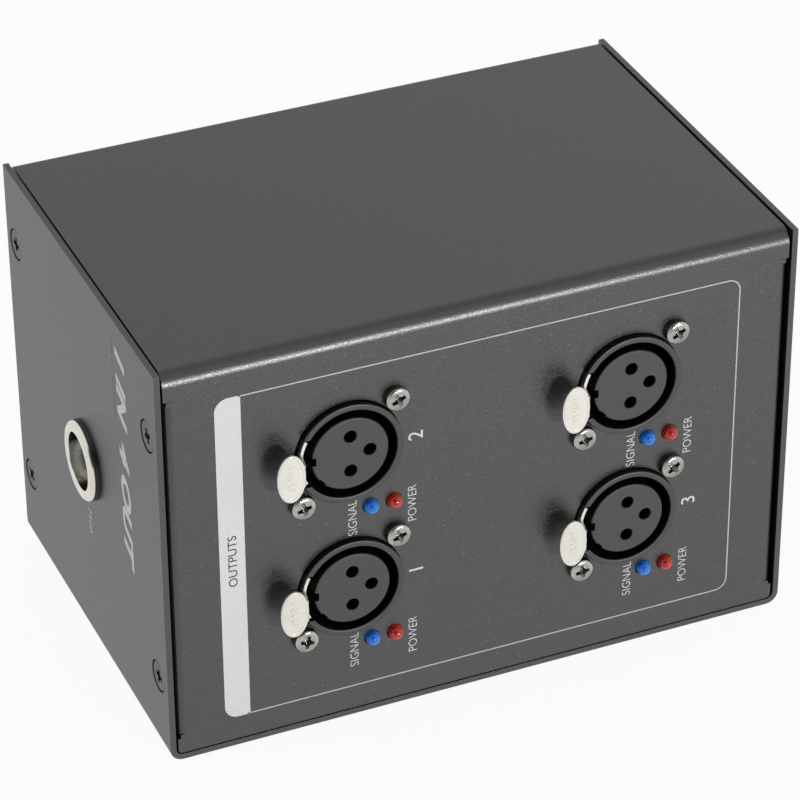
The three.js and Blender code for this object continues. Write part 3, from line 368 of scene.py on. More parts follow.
def with_materials(*parts):
    """Several meshes in one, each with its own materials."""
    whole = bmesh.new()
    used = []
    for mesh, *made in parts:
        start = len(whole.faces)
        whole.from_mesh(mesh)
        whole.faces.ensure_lookup_table()
        for face in whole.faces[start:]:
            face.material_index = len(used) + min(face.material_index, len(made) - 1)
        used += made
    result = settled(whole)
    for made in used:
        result.materials.append(made)
    return result


# Materials

NOISE_LOW = 0.3
NOISE_HIGH = 0.7
MOTTLE_GRAINS = 6
GLOSS_GRAINS = 12
GLOSS_SHARE = 0.08
SPECK_EDGE = 0.03
MARK_PATCH = 2.5
MARK_FAINTEST = 0.1


def shader(name, color, roughness, metallic=0, ior=1.5):
    made = bpy.data.materials.new(name)
    made.use_nodes = True
    principled = made.node_tree.nodes["Principled BSDF"]
    principled.inputs["Base Color"].default_value = (*color, 1)
    principled.inputs["Roughness"].default_value = roughness
    principled.inputs["Metallic"].default_value = metallic
    principled.inputs["IOR"].default_value = ior
    return made, principled


def fed(tree, socket, value):
    """Gives a socket another node's output, or else a plain value."""
    if isinstance(value, bpy.types.NodeSocket):
        tree.links.new(value, socket)
    else:
        socket.default_value = value


def computed(tree, operation, first, second=None):
    """One step of arithmetic. The second value may be a plain number."""
    step = tree.nodes.new("ShaderNodeMath")
    step.operation = operation
    fed(tree, step.inputs[0], first)
    if second is not None:
        fed(tree, step.inputs[1], second)
    return step.outputs[0]


def ranged(tree, value, low, high, first=0, last=1, easing="LINEAR"):
    """A value brought from one range to another."""
    step = tree.nodes.new("ShaderNodeMapRange")
    step.interpolation_type = easing
    step.inputs["From Min"].default_value = low
    step.inputs["From Max"].default_value = high
    step.inputs["To Min"].default_value = first
    step.inputs["To Max"].default_value = last
    tree.links.new(value, step.inputs["Value"])
    return step.outputs["Result"]


def mixed(tree, first, second, share):
    """Two colours mixed by a share that another node gives. The first may be a node's too."""
    mix = tree.nodes.new("ShaderNodeMix")
    mix.data_type = "RGBA"
    fed(tree, mix.inputs["A"], first)
    mix.inputs["B"].default_value = second
    tree.links.new(share, mix.inputs["Factor"])
    return mix.outputs["Result"]


def noise(tree, size, detail=2):
    """Noise in the piece's own space, with features about as large as the size."""
    place = tree.nodes.new("ShaderNodeTexCoord")
    texture = tree.nodes.new("ShaderNodeTexNoise")
    texture.inputs["Scale"].default_value = 1 / (size * MM)
    texture.inputs["Detail"].default_value = detail
    tree.links.new(place.outputs["Object"], texture.inputs["Vector"])
    return texture.outputs["Fac"]


def spread(tree, value, low, high):
    """Noise, which stays near a half, spread over a range."""
    return ranged(tree, value, NOISE_LOW, NOISE_HIGH, low, high)


def grain(made, principled, size, depth):
    """A fine uneven surface."""
    tree = made.node_tree
    bump = tree.nodes.new("ShaderNodeBump")
    bump.inputs["Strength"].default_value = 1
    bump.inputs["Distance"].default_value = depth * MM
    tree.links.new(noise(tree, size), bump.inputs["Height"])
    tree.links.new(bump.outputs["Normal"], principled.inputs["Normal"])


def mottle(made, principled, color, size, share):
    """The colour a little lighter and darker from place to place."""
    tree = made.node_tree
    darker = (*[part * (1 - share) for part in color], 1)
    lighter = (*[part * (1 + share) for part in color], 1)
    patches = spread(tree, noise(tree, size, detail=4), 0, 1)
    tree.links.new(mixed(tree, darker, lighter, patches), principled.inputs["Base Color"])


def uneven_gloss(made, principled, size, low, high):
    tree = made.node_tree
    patches = spread(tree, noise(tree, size, detail=3), low, high)
    tree.links.new(patches, principled.inputs["Roughness"])


def finish(name, color, roughness, metallic=0, ior=1.5, grain_size=0.5, grain_depth=0.01, share=0.08):
    """A surface with a fine grain, an uneven gloss and a slight mottle."""
    made, principled = shader(name, color, roughness, metallic, ior)
    grain(made, principled, grain_size, grain_depth)
    mottle(made, principled, color, MOTTLE_GRAINS * grain_size, share)
    low = roughness * (1 - GLOSS_SHARE)
    high = min(1, roughness * (1 + GLOSS_SHARE))
    uneven_gloss(made, principled, GLOSS_GRAINS * grain_size, low, high)
    return made


def clear_lens(name, color, edge_sheen_color):
    """Tinted clear plastic with a painted sheen: its colour turns brighter where the surface is seen
    edge-on.
    """
    made, principled = shader(name, color, roughness=0.1, ior=1.38)
    principled.inputs["Transmission Weight"].default_value = 0.25
    principled.inputs["Coat Weight"].default_value = 0.8
    principled.inputs["Coat Roughness"].default_value = 0.05
    tree = made.node_tree
    edge = tree.nodes.new("ShaderNodeLayerWeight")
    edge.inputs["Blend"].default_value = 0.5
    tint = mixed(tree, (*color, 1), (*edge_sheen_color, 1), edge.outputs["Facing"])
    tree.links.new(tint, principled.inputs["Base Color"])
    return made


def specks(made, principled, size, threshold, color):
    """Sparse lighter specks in the colour."""
    tree = made.node_tree
    under = principled.inputs["Base Color"].links[0].from_socket
    share = ranged(tree, noise(tree, size, detail=0), threshold, threshold + SPECK_EDGE)
    tree.links.new(mixed(tree, under, (*color, 1), share), principled.inputs["Base Color"])


def ring_marks(made, principled, places, radius, width, depth):
    """Faint broken rings where the studs behind the sheet show through its paint."""
    tree = made.node_tree
    where = tree.nodes.new("ShaderNodeTexCoord")
    rings = None
    for place in places:
        away = tree.nodes.new("ShaderNodeVectorMath")
        away.operation = "DISTANCE"
        away.inputs[1].default_value = Vector(place) * MM
        tree.links.new(where.outputs["Object"], away.inputs[0])
        off = computed(tree, "ABSOLUTE", computed(tree, "SUBTRACT", away.outputs["Value"], radius * MM))
        near = ranged(tree, off, 0, width * MM, 1, 0)
        rings = computed(tree, "MAXIMUM", near, rings) if rings else near
    gaps = spread(tree, noise(tree, MARK_PATCH), MARK_FAINTEST, 1)
    bump = tree.nodes.new("ShaderNodeBump")
    bump.inputs["Distance"].default_value = depth * MM
    tree.links.new(computed(tree, "MULTIPLY", rings, gaps), bump.inputs["Height"])
    tree.links.new(principled.inputs["Normal"].links[0].from_socket, bump.inputs["Normal"])
    tree.links.new(bump.outputs["Normal"], principled.inputs["Normal"])


PAINT = (0.007, 0.007, 0.0074)
SPECK = (0.07, 0.07, 0.07)
STUD_MARK = 6.8
STUD_MARK_WIDTH = 0.35
STUD_MARK_HEIGHT = 0.05
STUD_PLACES = ((31.6, 0, TOP), (-53.2, 33.6, TOP), (-53.2, -33.6, TOP))


def paint(name):
    """Dark powder coat: a glossy grainy skin over a nearly black body, with a few specks."""
    made, principled = shader(name, PAINT, roughness=0.34, ior=1.93)
    grain(made, principled, size=0.26, depth=0.042)
    mottle(made, principled, PAINT, size=2, share=0.15)
    uneven_gloss(made, principled, size=0.5, low=0.29, high=0.39)
    specks(made, principled, size=0.5, threshold=0.825, color=SPECK)
    return made, principled


box_paint = paint("box_paint")[0]
chassis_paint, chassis_shader = paint("chassis_paint")
ring_marks(chassis_paint, chassis_shader, STUD_PLACES, STUD_MARK / 2, STUD_MARK_WIDTH, STUD_MARK_HEIGHT)

# Each finish: colour, roughness, metallic, refraction, the grain's size and depth, and the mottle
tumbled_nickel = finish("tumbled_nickel", (0.78, 0.765, 0.7), 0.38, 1, 1.5, 0.5, 0.008, 0.03)
screw_nickel = finish("screw_nickel", (0.5, 0.49, 0.46), 0.16, 1, 1.5, 0.8, 0.08, 0.5)
polished_nickel = finish("polished_nickel", (0.82, 0.8, 0.72), 0.1, 1, 1.5, 0.6, 0.002)
# Painted shade: a dark copy of the nickel, for screw heads' side walls and for the bushing's outer wall,
# deep bore and thread
painted_shade_nickel = finish("painted_shade_nickel", (0.16, 0.155, 0.14), 0.3, 1, 1.5, 0.6, 0.003)
# Painted shade in the cross recesses of nickel screw heads
recess_shade_nickel = finish("recess_shade_nickel", (0.3, 0.29, 0.265), 0.14, 1, 1.5, 0.5, 0.02, 0.5)
bore_nickel = finish("bore_nickel", (0.8, 0.795, 0.765), 0.13, 1, 1.5, 0.8, 0.001, 0.1)
black_zinc = finish("black_zinc", (0.02, 0.02, 0.021), 0.36, 0.1, 1.8, 0.4, 0.006)
# Painted shade: near black, for the recesses of dark screw heads and for the cover screws' rims
recess_shade_black = finish("recess_shade_black", (0.008, 0.008, 0.008), 0.5, 0.3, 1.45, 0.4, 0.004)
zinc_steel = finish("zinc_steel", (0.55, 0.56, 0.57), 0.32, 1, 1.5, 0.8, 0.004)
black_plastic = finish("black_plastic", (0.016, 0.016, 0.017), 0.42, 0, 1.72, 0.4, 0.006)
# Painted shade: a darker copy of the black plastic, for the walls of bores and holes and for the body
# behind the panel
painted_shade_black = finish("painted_shade_black", (0.004, 0.004, 0.004), 0.6, 0, 1.25, 0.4, 0.006)
insert_plastic = finish("insert_plastic", (0.024, 0.024, 0.0245), 0.5, 0, 1.66, 0.3, 0.006)
contact_metal = finish("contact_metal", (0.4, 0.36, 0.26), 0.3, 1, 1.5, 0.5, 0.002)
board_green = finish("board_green", (0.01, 0.1, 0.04), 0.3, 0, 1.5, 1.5, 0.01)
core_steel = finish("core_steel", (0.2, 0.2, 0.21), 0.45, 0.9, 1.5, 0.5, 0.02)
lead_sleeve = finish("lead_sleeve", (0.13, 0.13, 0.14), 0.6, 0, 1.5, 0.6, 0.02)
white_print = finish("white_print", (0.67, 0.67, 0.66), 0.5, 0, 1.5, 0.3, 0.003, 0.02)
line_print = finish("line_print", (0.5, 0.5, 0.49), 0.5, 0, 1.5, 0.3, 0.003, 0.05)
grey_print = finish("grey_print", (0.45, 0.45, 0.45), 0.5, 0, 1.5, 0.3, 0.003, 0.05)
dark_print = finish("dark_print", (0.03, 0.03, 0.031), 0.5, 0, 1.5, 0.3, 0.003, 0.02)
# Each lens: its tint, then the brighter colour of its painted sheen where it is seen edge-on
blue_lens = clear_lens("blue_lens", (0.001, 0.14, 0.8), (0.02, 0.42, 1.0))
red_lens = clear_lens("red_lens", (0.42, 0.001, 0.001), (1.0, 0.07, 0.01))
fuse_glass, fuse_shader = shader("fuse_glass", (0.9, 0.92, 0.93), roughness=0.05)
fuse_shader.inputs["Transmission Weight"].default_value = 0.9
grain(fuse_glass, fuse_shader, size=2, depth=0.002)


# Pieces

def piece(name, mesh, materials, place, body, slot, *nodes):
    """A finished piece at its place, which rides on a body and stands for CAD nodes."""
    if not mesh.materials:
        for made in materials:
            mesh.materials.append(made)
    obj = new_object(name, mesh)
    obj.matrix_world = place
    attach(obj, body)
    if nodes:
        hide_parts(*nodes)
    return obj


def dressed(name, node, materials, body, slot, width, which=None, fills=()):
    """A CAD node's own shape with its edges broken, its bends smooth and its materials."""
    mesh = cleaned(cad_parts[node].data)
    if fills:
        mesh = cleaned(joined(mesh, *fills))
    mesh = zoned(mesh, which or (lambda face: 0), *materials)
    return piece(name, softened(mesh, width), materials, Matrix.Identity(4), body, slot, node)


# Screws

OVERRUN = 1
CROSS_FOOT = 1.2
CROSS_FOOT_WIDTH = 0.45
CROSS_DEPTH = 1.3
CONE_TIP = 0.3
CONE_FOOT = 0.55
CONE_TOP = 0.85
SUNK_FROM = 0.12
SUNK_PAST = 0.5
SHANK_EDGE = 0.3
PAN_HEAD = 5.0
PAN_LENGTH = 9
PAN_HEIGHT = 1.9
PAN_SHANK = 1.25
PAN_SHOULDER = 0.2
PAN_ROUND = 0.6
PAN_SEAT_EDGE = 0.08
PAN_DOME = ((0.72, 0.11), (0.4, 0.02))
PAN_ARM = 3.0
PAN_ARM_WIDTH = 0.8
PAN_RIM = 0.12
COVER_LENGTH = 8
COVER_SHANK = 1.75
COVER_FACE = -0.12
COVER_WALL = 0.15
COVER_CHAMFER = 0.28
COVER_ARM = 3.1
COVER_ARM_WIDTH = 0.95
COVER_RIM = 0.2


def tapered_bar(length, foot_length, width, foot_width, low, high):
    """A bar that narrows downwards, for one stroke of a cross recess."""
    verts = []
    for x, y, z in ((foot_length, foot_width, low), (length, width, high)):
        verts += [(-x / 2, -y / 2, z), (x / 2, -y / 2, z), (x / 2, y / 2, z), (-x / 2, y / 2, z)]
    faces = [[0, 1, 2, 3], [4, 5, 6, 7]]
    for i in range(4):
        j = (i + 1) % 4
        faces.append([i, j, 4 + j, 4 + i])
    return mesh_of(verts, faces)


def cross_recess(top, arm, width):
    """Two crossed strokes and the cone between them."""
    grow = (CROSS_DEPTH + OVERRUN) / CROSS_DEPTH
    length = CROSS_FOOT + (arm - CROSS_FOOT) * grow
    wide = CROSS_FOOT_WIDTH + (width - CROSS_FOOT_WIDTH) * grow
    low = top - CROSS_DEPTH
    stroke = tapered_bar(length, CROSS_FOOT, wide, CROSS_FOOT_WIDTH, low, top + OVERRUN)
    second = moved(stroke.copy(), Matrix.Rotation(QUARTER, 4, "Z"))
    cone_points = [(0, low - CONE_TIP), (CONE_FOOT, low), (CONE_TOP, top), (0, top)]
    return stroke, second, revolved(cone_points, HOLE_STEPS)


def recessed(mesh, top, arm, width, made, sunk_shade, wall, wall_radius):
    """A screw with painted shade: its cross recess and its outer wall get darker materials than its top.
    """

    def which(face):
        centre = face.center / MM
        away = math.hypot(centre.x, centre.y)
        if away > wall_radius:
            return 2
        sunk = top - CROSS_DEPTH - SUNK_PAST < centre.z < top - SUNK_FROM
        return 1 if sunk and away < arm / 2 else 0

    mesh = smoothed(cut(mesh, *cross_recess(top, arm, width)))
    return zoned(mesh, which, made, sunk_shade, wall)


def pan_screw_mesh(head, made):
    """A pan head with a slightly domed top on a plain shank."""
    radius = head / 2
    top = PAN_HEIGHT
    points = [
        (0, -PAN_LENGTH, 0),
        (PAN_SHANK, -PAN_LENGTH, SHANK_EDGE),
        (PAN_SHANK, 0, 0),
        (radius, 0, PAN_SEAT_EDGE),
        (radius, top - PAN_SHOULDER, PAN_ROUND),
        *[(radius * share, top - drop, 0) for share, drop in PAN_DOME],
        (0, top, 0),
    ]
    mesh = lathed(points, SCREW_STEPS)
    # Painted shade: nickel heads get a dark nickel on their side wall and in their recess; other heads
    # keep their finish on the wall and get a near-black recess
    wall, sunk_shade = (painted_shade_nickel, recess_shade_nickel) if made == screw_nickel else (made, recess_shade_black)
    return recessed(mesh, top, PAN_ARM, PAN_ARM_WIDTH, made, sunk_shade, wall, radius - PAN_RIM)


def cover_screw_mesh():
    """A countersunk head just below the plate's face, with a painted shade line round it from its
    near-black rim.
    """
    low, high = corners("cover_screw_left_front_low")
    head = (high.y - low.y) / 2
    sink = low.x - LEFT
    face = COVER_FACE
    points = [
        (0, -COVER_LENGTH, 0),
        (COVER_SHANK, -COVER_LENGTH, SHANK_EDGE),
        (COVER_SHANK, -sink - (head - COVER_SHANK), 0),
        (head, -sink, 0),
        (head, face - COVER_WALL, 0),
        (head - COVER_CHAMFER, face, 0),
        (0, face, 0),
    ]
    mesh = lathed(points, SCREW_STEPS)
    rim = head - COVER_RIM
    return recessed(mesh, face, COVER_ARM, COVER_ARM_WIDTH, black_zinc, recess_shade_black, recess_shade_black, rim)


# Output connectors, each drawn in its panel frame: x runs up the panel and y to the left

SHEET = 1.2
BARREL = 21.6
BARREL_BORE = 19.1
BARREL_PROUD = 1.4
BARREL_FLOOR = 9.6
BARREL_ROOT = 0.5
BARREL_SEAM = 0.2
LIP_ROUND = 0.28
BODY_LOW = -10.8
BODY_HIGH = 11.4
BODY_HALF_WIDTH = 11.4
BODY_WALL = 1.5
BODY_CORNER = 1.5
BODY_DEPTH = 20
BODY_FLOOR = 1.6
BODY_EDGE = 0.15
THROAT = 13.8
EAR = 6.4
EAR_DEPTH = 2.5
EAR_BORE = 2.9
EAR_BORE_DEPTH = 9.6
SCREW_OFFSET = 9.7
SCREW_PLACES = {"a": (SCREW_OFFSET, -SCREW_OFFSET), "b": (-SCREW_OFFSET, SCREW_OFFSET)}
INSERT = 15.6
INSERT_PROUD = 1.25
INSERT_EDGE = 0.35
INSERT_SEAT = 0.3
BOSS = 6.6
BOSS_DEPTH = 4.5
KEY_HALF = 0.9
KEY_DEPTH = 0.85
KEY_REACH = 2
NICK_HALF = 0.8
NICK_DEPTH = 0.4
NICK_TURN = 40
CONTACT_SPREAD = 3.81
CONTACT_DROP = 3.95
CONTACT_PLACES = ((-CONTACT_SPREAD, 0), (CONTACT_SPREAD, 0), (0, -CONTACT_DROP))
SOCKET = 2.6
SOCKET_DEPTH = 9
SOCKET_RIM = 0.12
TUBE_OUTER = 1.28
TUBE_INNER = 0.95
TUBE_TOP = 4.5
TAIL_HALF = 0.4
TAIL_END = 22.8
TAIL_OVERLAP = 0.2
LEVER_SLOT = 10.5
LEVER_SLOT_FROM = 7.6
LEVER_SLOT_TO = 14
LEVER_SLOT_DEPTH = 7.7
PIVOT_PLACE = (0, 9.9, -6.3)
PIVOT_BORE = 2.1
PIVOT_BORE_HALF = 6.55
WALL_SLOPE = 0.4


def at_screws(diameter, depth, high):
    """A cylinder at each of a connector's two screws, down to a depth behind the panel."""
    return [cylinder(diameter, -SHEET - depth, high, x, y, HOLE_STEPS) for x, y in SCREW_PLACES.values()]


def walled(mesh, made, wall):
    """One material on what faces outward, and painted shade on the walls of a barrel and its holes: a
    darker material there.
    """
    return zoned(mesh, lambda face: 1 if abs(face.normal.z) < WALL_SLOPE else 0, made, wall)


def connector_body(bore, floor, *cutters):
    """The moulded body behind the panel, its two ears and the barrel through the panel."""
    inner = bore / 2
    radius = BARREL / 2
    root = -floor - BARREL_ROOT
    barrel = lathed(
        [
            (inner, root, 0),
            (radius, root, 0),
            (radius, BARREL_PROUD, LIP_ROUND),
            (inner, BARREL_PROUD, LIP_ROUND),
        ],
        closed=True,
    )
    outline = rounded_rectangle(BODY_LOW, BODY_HIGH, -BODY_HALF_WIDTH, BODY_HALF_WIDTH, BODY_CORNER)
    hollow = rounded_rectangle(
        BODY_LOW + BODY_WALL,
        BODY_HIGH - BODY_WALL,
        BODY_WALL - BODY_HALF_WIDTH,
        BODY_HALF_WIDTH - BODY_WALL,
        BODY_CORNER,
    )
    body = cut(
        joined(standing(outline, -BODY_DEPTH, -SHEET), *at_screws(EAR, EAR_DEPTH, -SHEET)),
        cylinder(2 * (radius - BARREL_SEAM), -floor, OVERRUN),
        standing(hollow, -BODY_DEPTH - OVERRUN, -floor - BODY_FLOOR),
        cylinder(THROAT, -BODY_DEPTH, 0),
        *at_screws(EAR_BORE, EAR_BORE_DEPTH, OVERRUN),
        *[cutter.copy() for cutter in cutters],
    )
    # The barrel's walls and the whole body behind the panel get the painted shade black
    barrel = walled(smoothed(cut(barrel, *cutters)), black_plastic, painted_shade_black)
    return with_materials((barrel, black_plastic, painted_shade_black), (softened(body, BODY_EDGE), painted_shade_black))


def output_body_mesh():
    """An output's body, with a slot for its lever and a bore for the lever's pin."""
    half = LEVER_SLOT / 2
    bore = cylinder(PIVOT_BORE, -PIVOT_BORE_HALF, PIVOT_BORE_HALF, steps=HOLE_STEPS)
    front = BARREL_PROUD + OVERRUN
    return connector_body(
        BARREL_BORE,
        BARREL_FLOOR,
        block(-half, half, LEVER_SLOT_FROM, LEVER_SLOT_TO, -LEVER_SLOT_DEPTH, front),
        moved(bore, sideways(PIVOT_PLACE)),
    )


def output_insert_mesh():
    """The socket insert: a disc with a keyway, a nick, three sockets and their contacts."""
    radius = INSERT / 2
    seat = INSERT_SEAT - BARREL_FLOOR
    end = -BARREL_FLOOR - BOSS_DEPTH
    face = INSERT_PROUD
    points = [
        (0, end, 0),
        (BOSS, end, 0),
        (BOSS, seat, 0),
        (radius, seat, 0),
        (radius, face, INSERT_EDGE),
        (0, face, 0),
    ]
    deep = (seat, face + OVERRUN)
    key = block(-KEY_HALF, KEY_HALF, radius - KEY_DEPTH, radius + KEY_REACH, *deep)
    nick = block(-NICK_HALF, NICK_HALF, radius - NICK_DEPTH, radius + KEY_REACH, *deep)
    nick = moved(nick, Matrix.Rotation(math.radians(NICK_TURN), 4, "Z"))
    bore = SOCKET / 2
    socket = [
        (0, face - SOCKET_DEPTH),
        (bore, face - SOCKET_DEPTH),
        (bore, face - SOCKET_RIM),
        (bore + SOCKET_RIM, face),
        (bore + SOCKET_RIM, face + OVERRUN),
        (0, face + OVERRUN),
    ]
    tube = [
        (TUBE_OUTER, face - SOCKET_DEPTH),
        (TUBE_OUTER, face - TUBE_TOP),
        (TUBE_INNER, face - TUBE_TOP),
        (TUBE_INNER, face - SOCKET_DEPTH),
    ]
    sockets = []
    contacts = []
    for x, y in CONTACT_PLACES:
        sockets.append(moved(revolved(socket, HOLE_STEPS), offset(x, y)))
        contacts.append(moved(revolved(tube, HOLE_STEPS, True), offset(x, y)))
        contacts.append(post(x, y, TAIL_HALF, -TAIL_END, end + TAIL_OVERLAP))
    # The walls of the sockets, keyway and nick get the painted shade black
    body = walled(smoothed(cut(lathed(points), key, nick, *sockets)), insert_plastic, painted_shade_black)
    metal = smoothed(beside(*contacts))
    return with_materials((body, insert_plastic, painted_shade_black), (metal, contact_metal))


# Release levers

LEVER_INNER = 9.7
LEVER_OUTER = 10.3
LEVER_FRONT = 1.0
LEVER_REAR = 6.3
LEVER_HALF_TURN = 28
LEVER_STEPS = 24
LEVER_EDGE = 0.13
LEVER_PIN = 1.6
LEVER_PIN_HALF = 6.3
TAB_TOP = 4.86
TAB_UNDER = 4.4
TAB_CENTRE = 13.38
TAB_HALF_WIDTH = 5.2
TAB_HALF_HEIGHT = 2.85
TAB_STEPS = 64
RIM_TOP = 4.93
RIM_FOOT = 0.1
RIM_EDGE = 0.05
RIM_OUTER_INSET = (0.2, 0.2)
RIM_INNER_INSET = (0.6, 0.55)
NECK_WIDTH = 4.7
NECK_FOOT = 0.2
NECK_FOLD = 10.45
NECK_THICK = 0.55
NECK_INNER_ROUND = 0.2
NECK_OUTER_ROUND = 0.45
CATCH = ((10, -0.6), (9, -2.6), (9, -3.2), (10, -3.2))
CATCH_HALF = 2


def strip_outline():
    """The sprung strip, a part of a ring inside the barrel."""
    half = math.radians(LEVER_HALF_TURN)
    outer = arc(0, 0, LEVER_OUTER, QUARTER - half, QUARTER + half, LEVER_STEPS)
    inner = arc(0, 0, LEVER_INNER, QUARTER + half, QUARTER - half, LEVER_STEPS)
    return outer + inner


def tab_outline(inset_x=0, inset_y=0):
    """The thumb tab's oval, or a smaller one inside it."""
    half_width = TAB_HALF_WIDTH - inset_x
    half_height = TAB_HALF_HEIGHT - inset_y
    points = []
    for i in range(TAB_STEPS):
        angle = TURN * i / TAB_STEPS
        points.append((half_width * math.cos(angle), TAB_CENTRE + half_height * math.sin(angle)))
    return points


def letters(text, cap, length=None, depth=0.05, bold=0.0, slant=0.0):
    """Words as a thin mesh, centred, with their capitals as tall as given."""
    curve = bpy.data.curves.new("words", "FONT")
    curve.body = text
    curve.align_x = "CENTER"
    curve.extrude = 0.5
    curve.offset = bold
    curve.shear = slant
    curve.resolution_u = 6
    obj = bpy.data.objects.new("words", curve)
    bpy.context.scene.collection.objects.link(obj)
    mesh = baked(obj)
    bpy.data.curves.remove(curve)
    low = [min(vert.co[i] for vert in mesh.vertices) for i in range(3)]
    high = [max(vert.co[i] for vert in mesh.vertices) for i in range(3)]
    tall = cap * MM / (high[1] - low[1])
    wide = length * MM / (high[0] - low[0]) if length else tall
    centre = Vector([(a + b) / 2 for a, b in zip(low, high)])
    thick = depth * MM / (high[2] - low[2])
    mesh.transform(Matrix.Diagonal((wide, tall, thick, 1)) @ Matrix.Translation(-centre))
    mesh.materials.clear()
    return mesh


def lever_mesh():
    """The sprung strip, its leaning neck and the oval thumb tab with a faint rim and word."""
    half = NECK_WIDTH / 2
    neck = [
        (LEVER_INNER, NECK_FOOT, 0),
        (LEVER_OUTER, NECK_FOOT, 0),
        (NECK_FOLD + NECK_THICK, TAB_UNDER, NECK_INNER_ROUND),
        (TAB_CENTRE, TAB_UNDER, 0),
        (TAB_CENTRE, TAB_TOP, 0),
        (NECK_FOLD, TAB_TOP, NECK_OUTER_ROUND),
    ]
    pin = cylinder(LEVER_PIN, -LEVER_PIN_HALF, LEVER_PIN_HALF, steps=HOLE_STEPS)
    body = joined(
        standing(strip_outline(), -LEVER_REAR, LEVER_FRONT),
        moved(standing(filleted(neck), -half, half), sideways()),
        standing(tab_outline(), TAB_UNDER, TAB_TOP),
        moved(standing(CATCH, -CATCH_HALF, CATCH_HALF), sideways()),
        moved(pin, sideways(PIVOT_PLACE)),
    )
    ring = cut(
        standing(tab_outline(*RIM_OUTER_INSET), TAB_TOP - RIM_FOOT, RIM_TOP),
        standing(tab_outline(*RIM_INNER_INSET), TAB_UNDER, RIM_TOP + OVERRUN),
    )
    word = letters("PUSH", cap=1.5, length=5.2, depth=0.12, bold=0.01)
    word = moved(word, offset(0, TAB_CENTRE, TAB_TOP))
    return beside(softened(body, LEVER_EDGE, 3), softened(ring, RIM_EDGE), softened(word, 0))


# Lamps

LAMP = 3.0
LAMP_TIP = 1.9
LAMP_STEPS = 16
LAMP_COLLAR = 1.9
LAMP_COLLAR_EDGE = 0.1
LAMP_COLLAR_DEPTH = 1
LAMP_SEAT = 0.05
LEG_SPREAD = 1.27
LEG_HALF = 0.25
LEG_TOP = 0.9


def lamp_mesh():
    """A round dome on a wider collar behind the sheet."""
    radius = LAMP / 2
    dome = arc(0, LAMP_TIP - radius, radius, 0, QUARTER, LAMP_STEPS)
    dome[-1] = (0, LAMP_TIP)
    bottom = -SHEET - LAMP_COLLAR_DEPTH
    collar = [
        (0, bottom),
        (LAMP_COLLAR - LAMP_COLLAR_EDGE, bottom),
        (LAMP_COLLAR, bottom + LAMP_COLLAR_EDGE),
        (LAMP_COLLAR, -SHEET - LAMP_SEAT),
        (radius, -SHEET),
    ]
    return smoothed(revolved(collar + dome, HOLE_STEPS))


def lamp_legs_mesh():
    top = -SHEET - LEG_TOP
    return beside(*[post(0, y, LEG_HALF, -BODY_DEPTH, top) for y in (-LEG_SPREAD, LEG_SPREAD)])


screw_mesh = pan_screw_mesh(PAN_HEAD, screw_nickel)
output_body = output_body_mesh()
output_insert = output_insert_mesh()
lever = lever_mesh()
lamp = lamp_mesh()
lamp_legs = lamp_legs_mesh()


SIGNAL_LAMP_PLACE = (-13.7, -4.45)
POWER_LAMP_PLACE = (-13.7, -9.25)
SCREW_TURNS = {"1a": 20, "1b": -12, "2a": 24, "2b": 14, "3a": 38, "3b": 8, "4a": 30, "4b": 12}

for number in OUTPUTS:
    centre = middle(f"output_insert_{number}")
    place = front_frame(centre.x, centre.z)
    piece(f"connector_body_{number}", output_body, [], place, "box",
          "black_plastic", f"output_housing_{number}")
    piece(f"connector_insert_{number}", output_insert, [], place, "box",
          "insert_plastic", f"output_insert_{number}")
    piece(f"push_lever_{number}", lever, [tumbled_nickel], place, f"lever_{number}",
          "nickel", f"latch_{number}")
    for letter, (x, y) in SCREW_PLACES.items():
        key = f"{number}{letter}"
        spot = turned(shifted(place, x, y), SCREW_TURNS[key])
        piece(f"connector_screw_{key}", screw_mesh, [], spot, "box", "nickel", f"output_screw_{key}")
    for kind, (x, y), made, slot in (
        ("signal", SIGNAL_LAMP_PLACE, blue_lens, "blue_lens"),
        ("power", POWER_LAMP_PLACE, red_lens, "red_lens"),
    ):
        spot = shifted(place, x, y)
        piece(f"{kind}_lens_{number}", lamp.copy(), [made], spot, "box", slot, f"{kind}_lamp_{number}")
        piece(f"{kind}_legs_{number}", lamp_legs, [zinc_steel], spot, "box", "zinc_steel")


# Hanging bushing

BUSHING_FLANGE = 8.3
BUSHING_PROUD = 1.8
BUSHING_BORE = 5.9
BUSHING_MOUTH = 7
BUSHING_BARREL = 7.2
BUSHING_LENGTH = 14
BUSHING_CREASE = 30
MOUTH_RIM = 0.3
MOUTH_END = 0.5
TOLERANCE = 0.01
NUT_RADIUS = 8.5
NUT_BACK = 5
NUT_BEVEL = 3.7
NUT_FRONT = 1.75
NUT_SEAT = 1.7
THREAD_RADIUS = 4.3
THREAD_HEIGHT = 0.65
THREAD_PITCH = 1.5


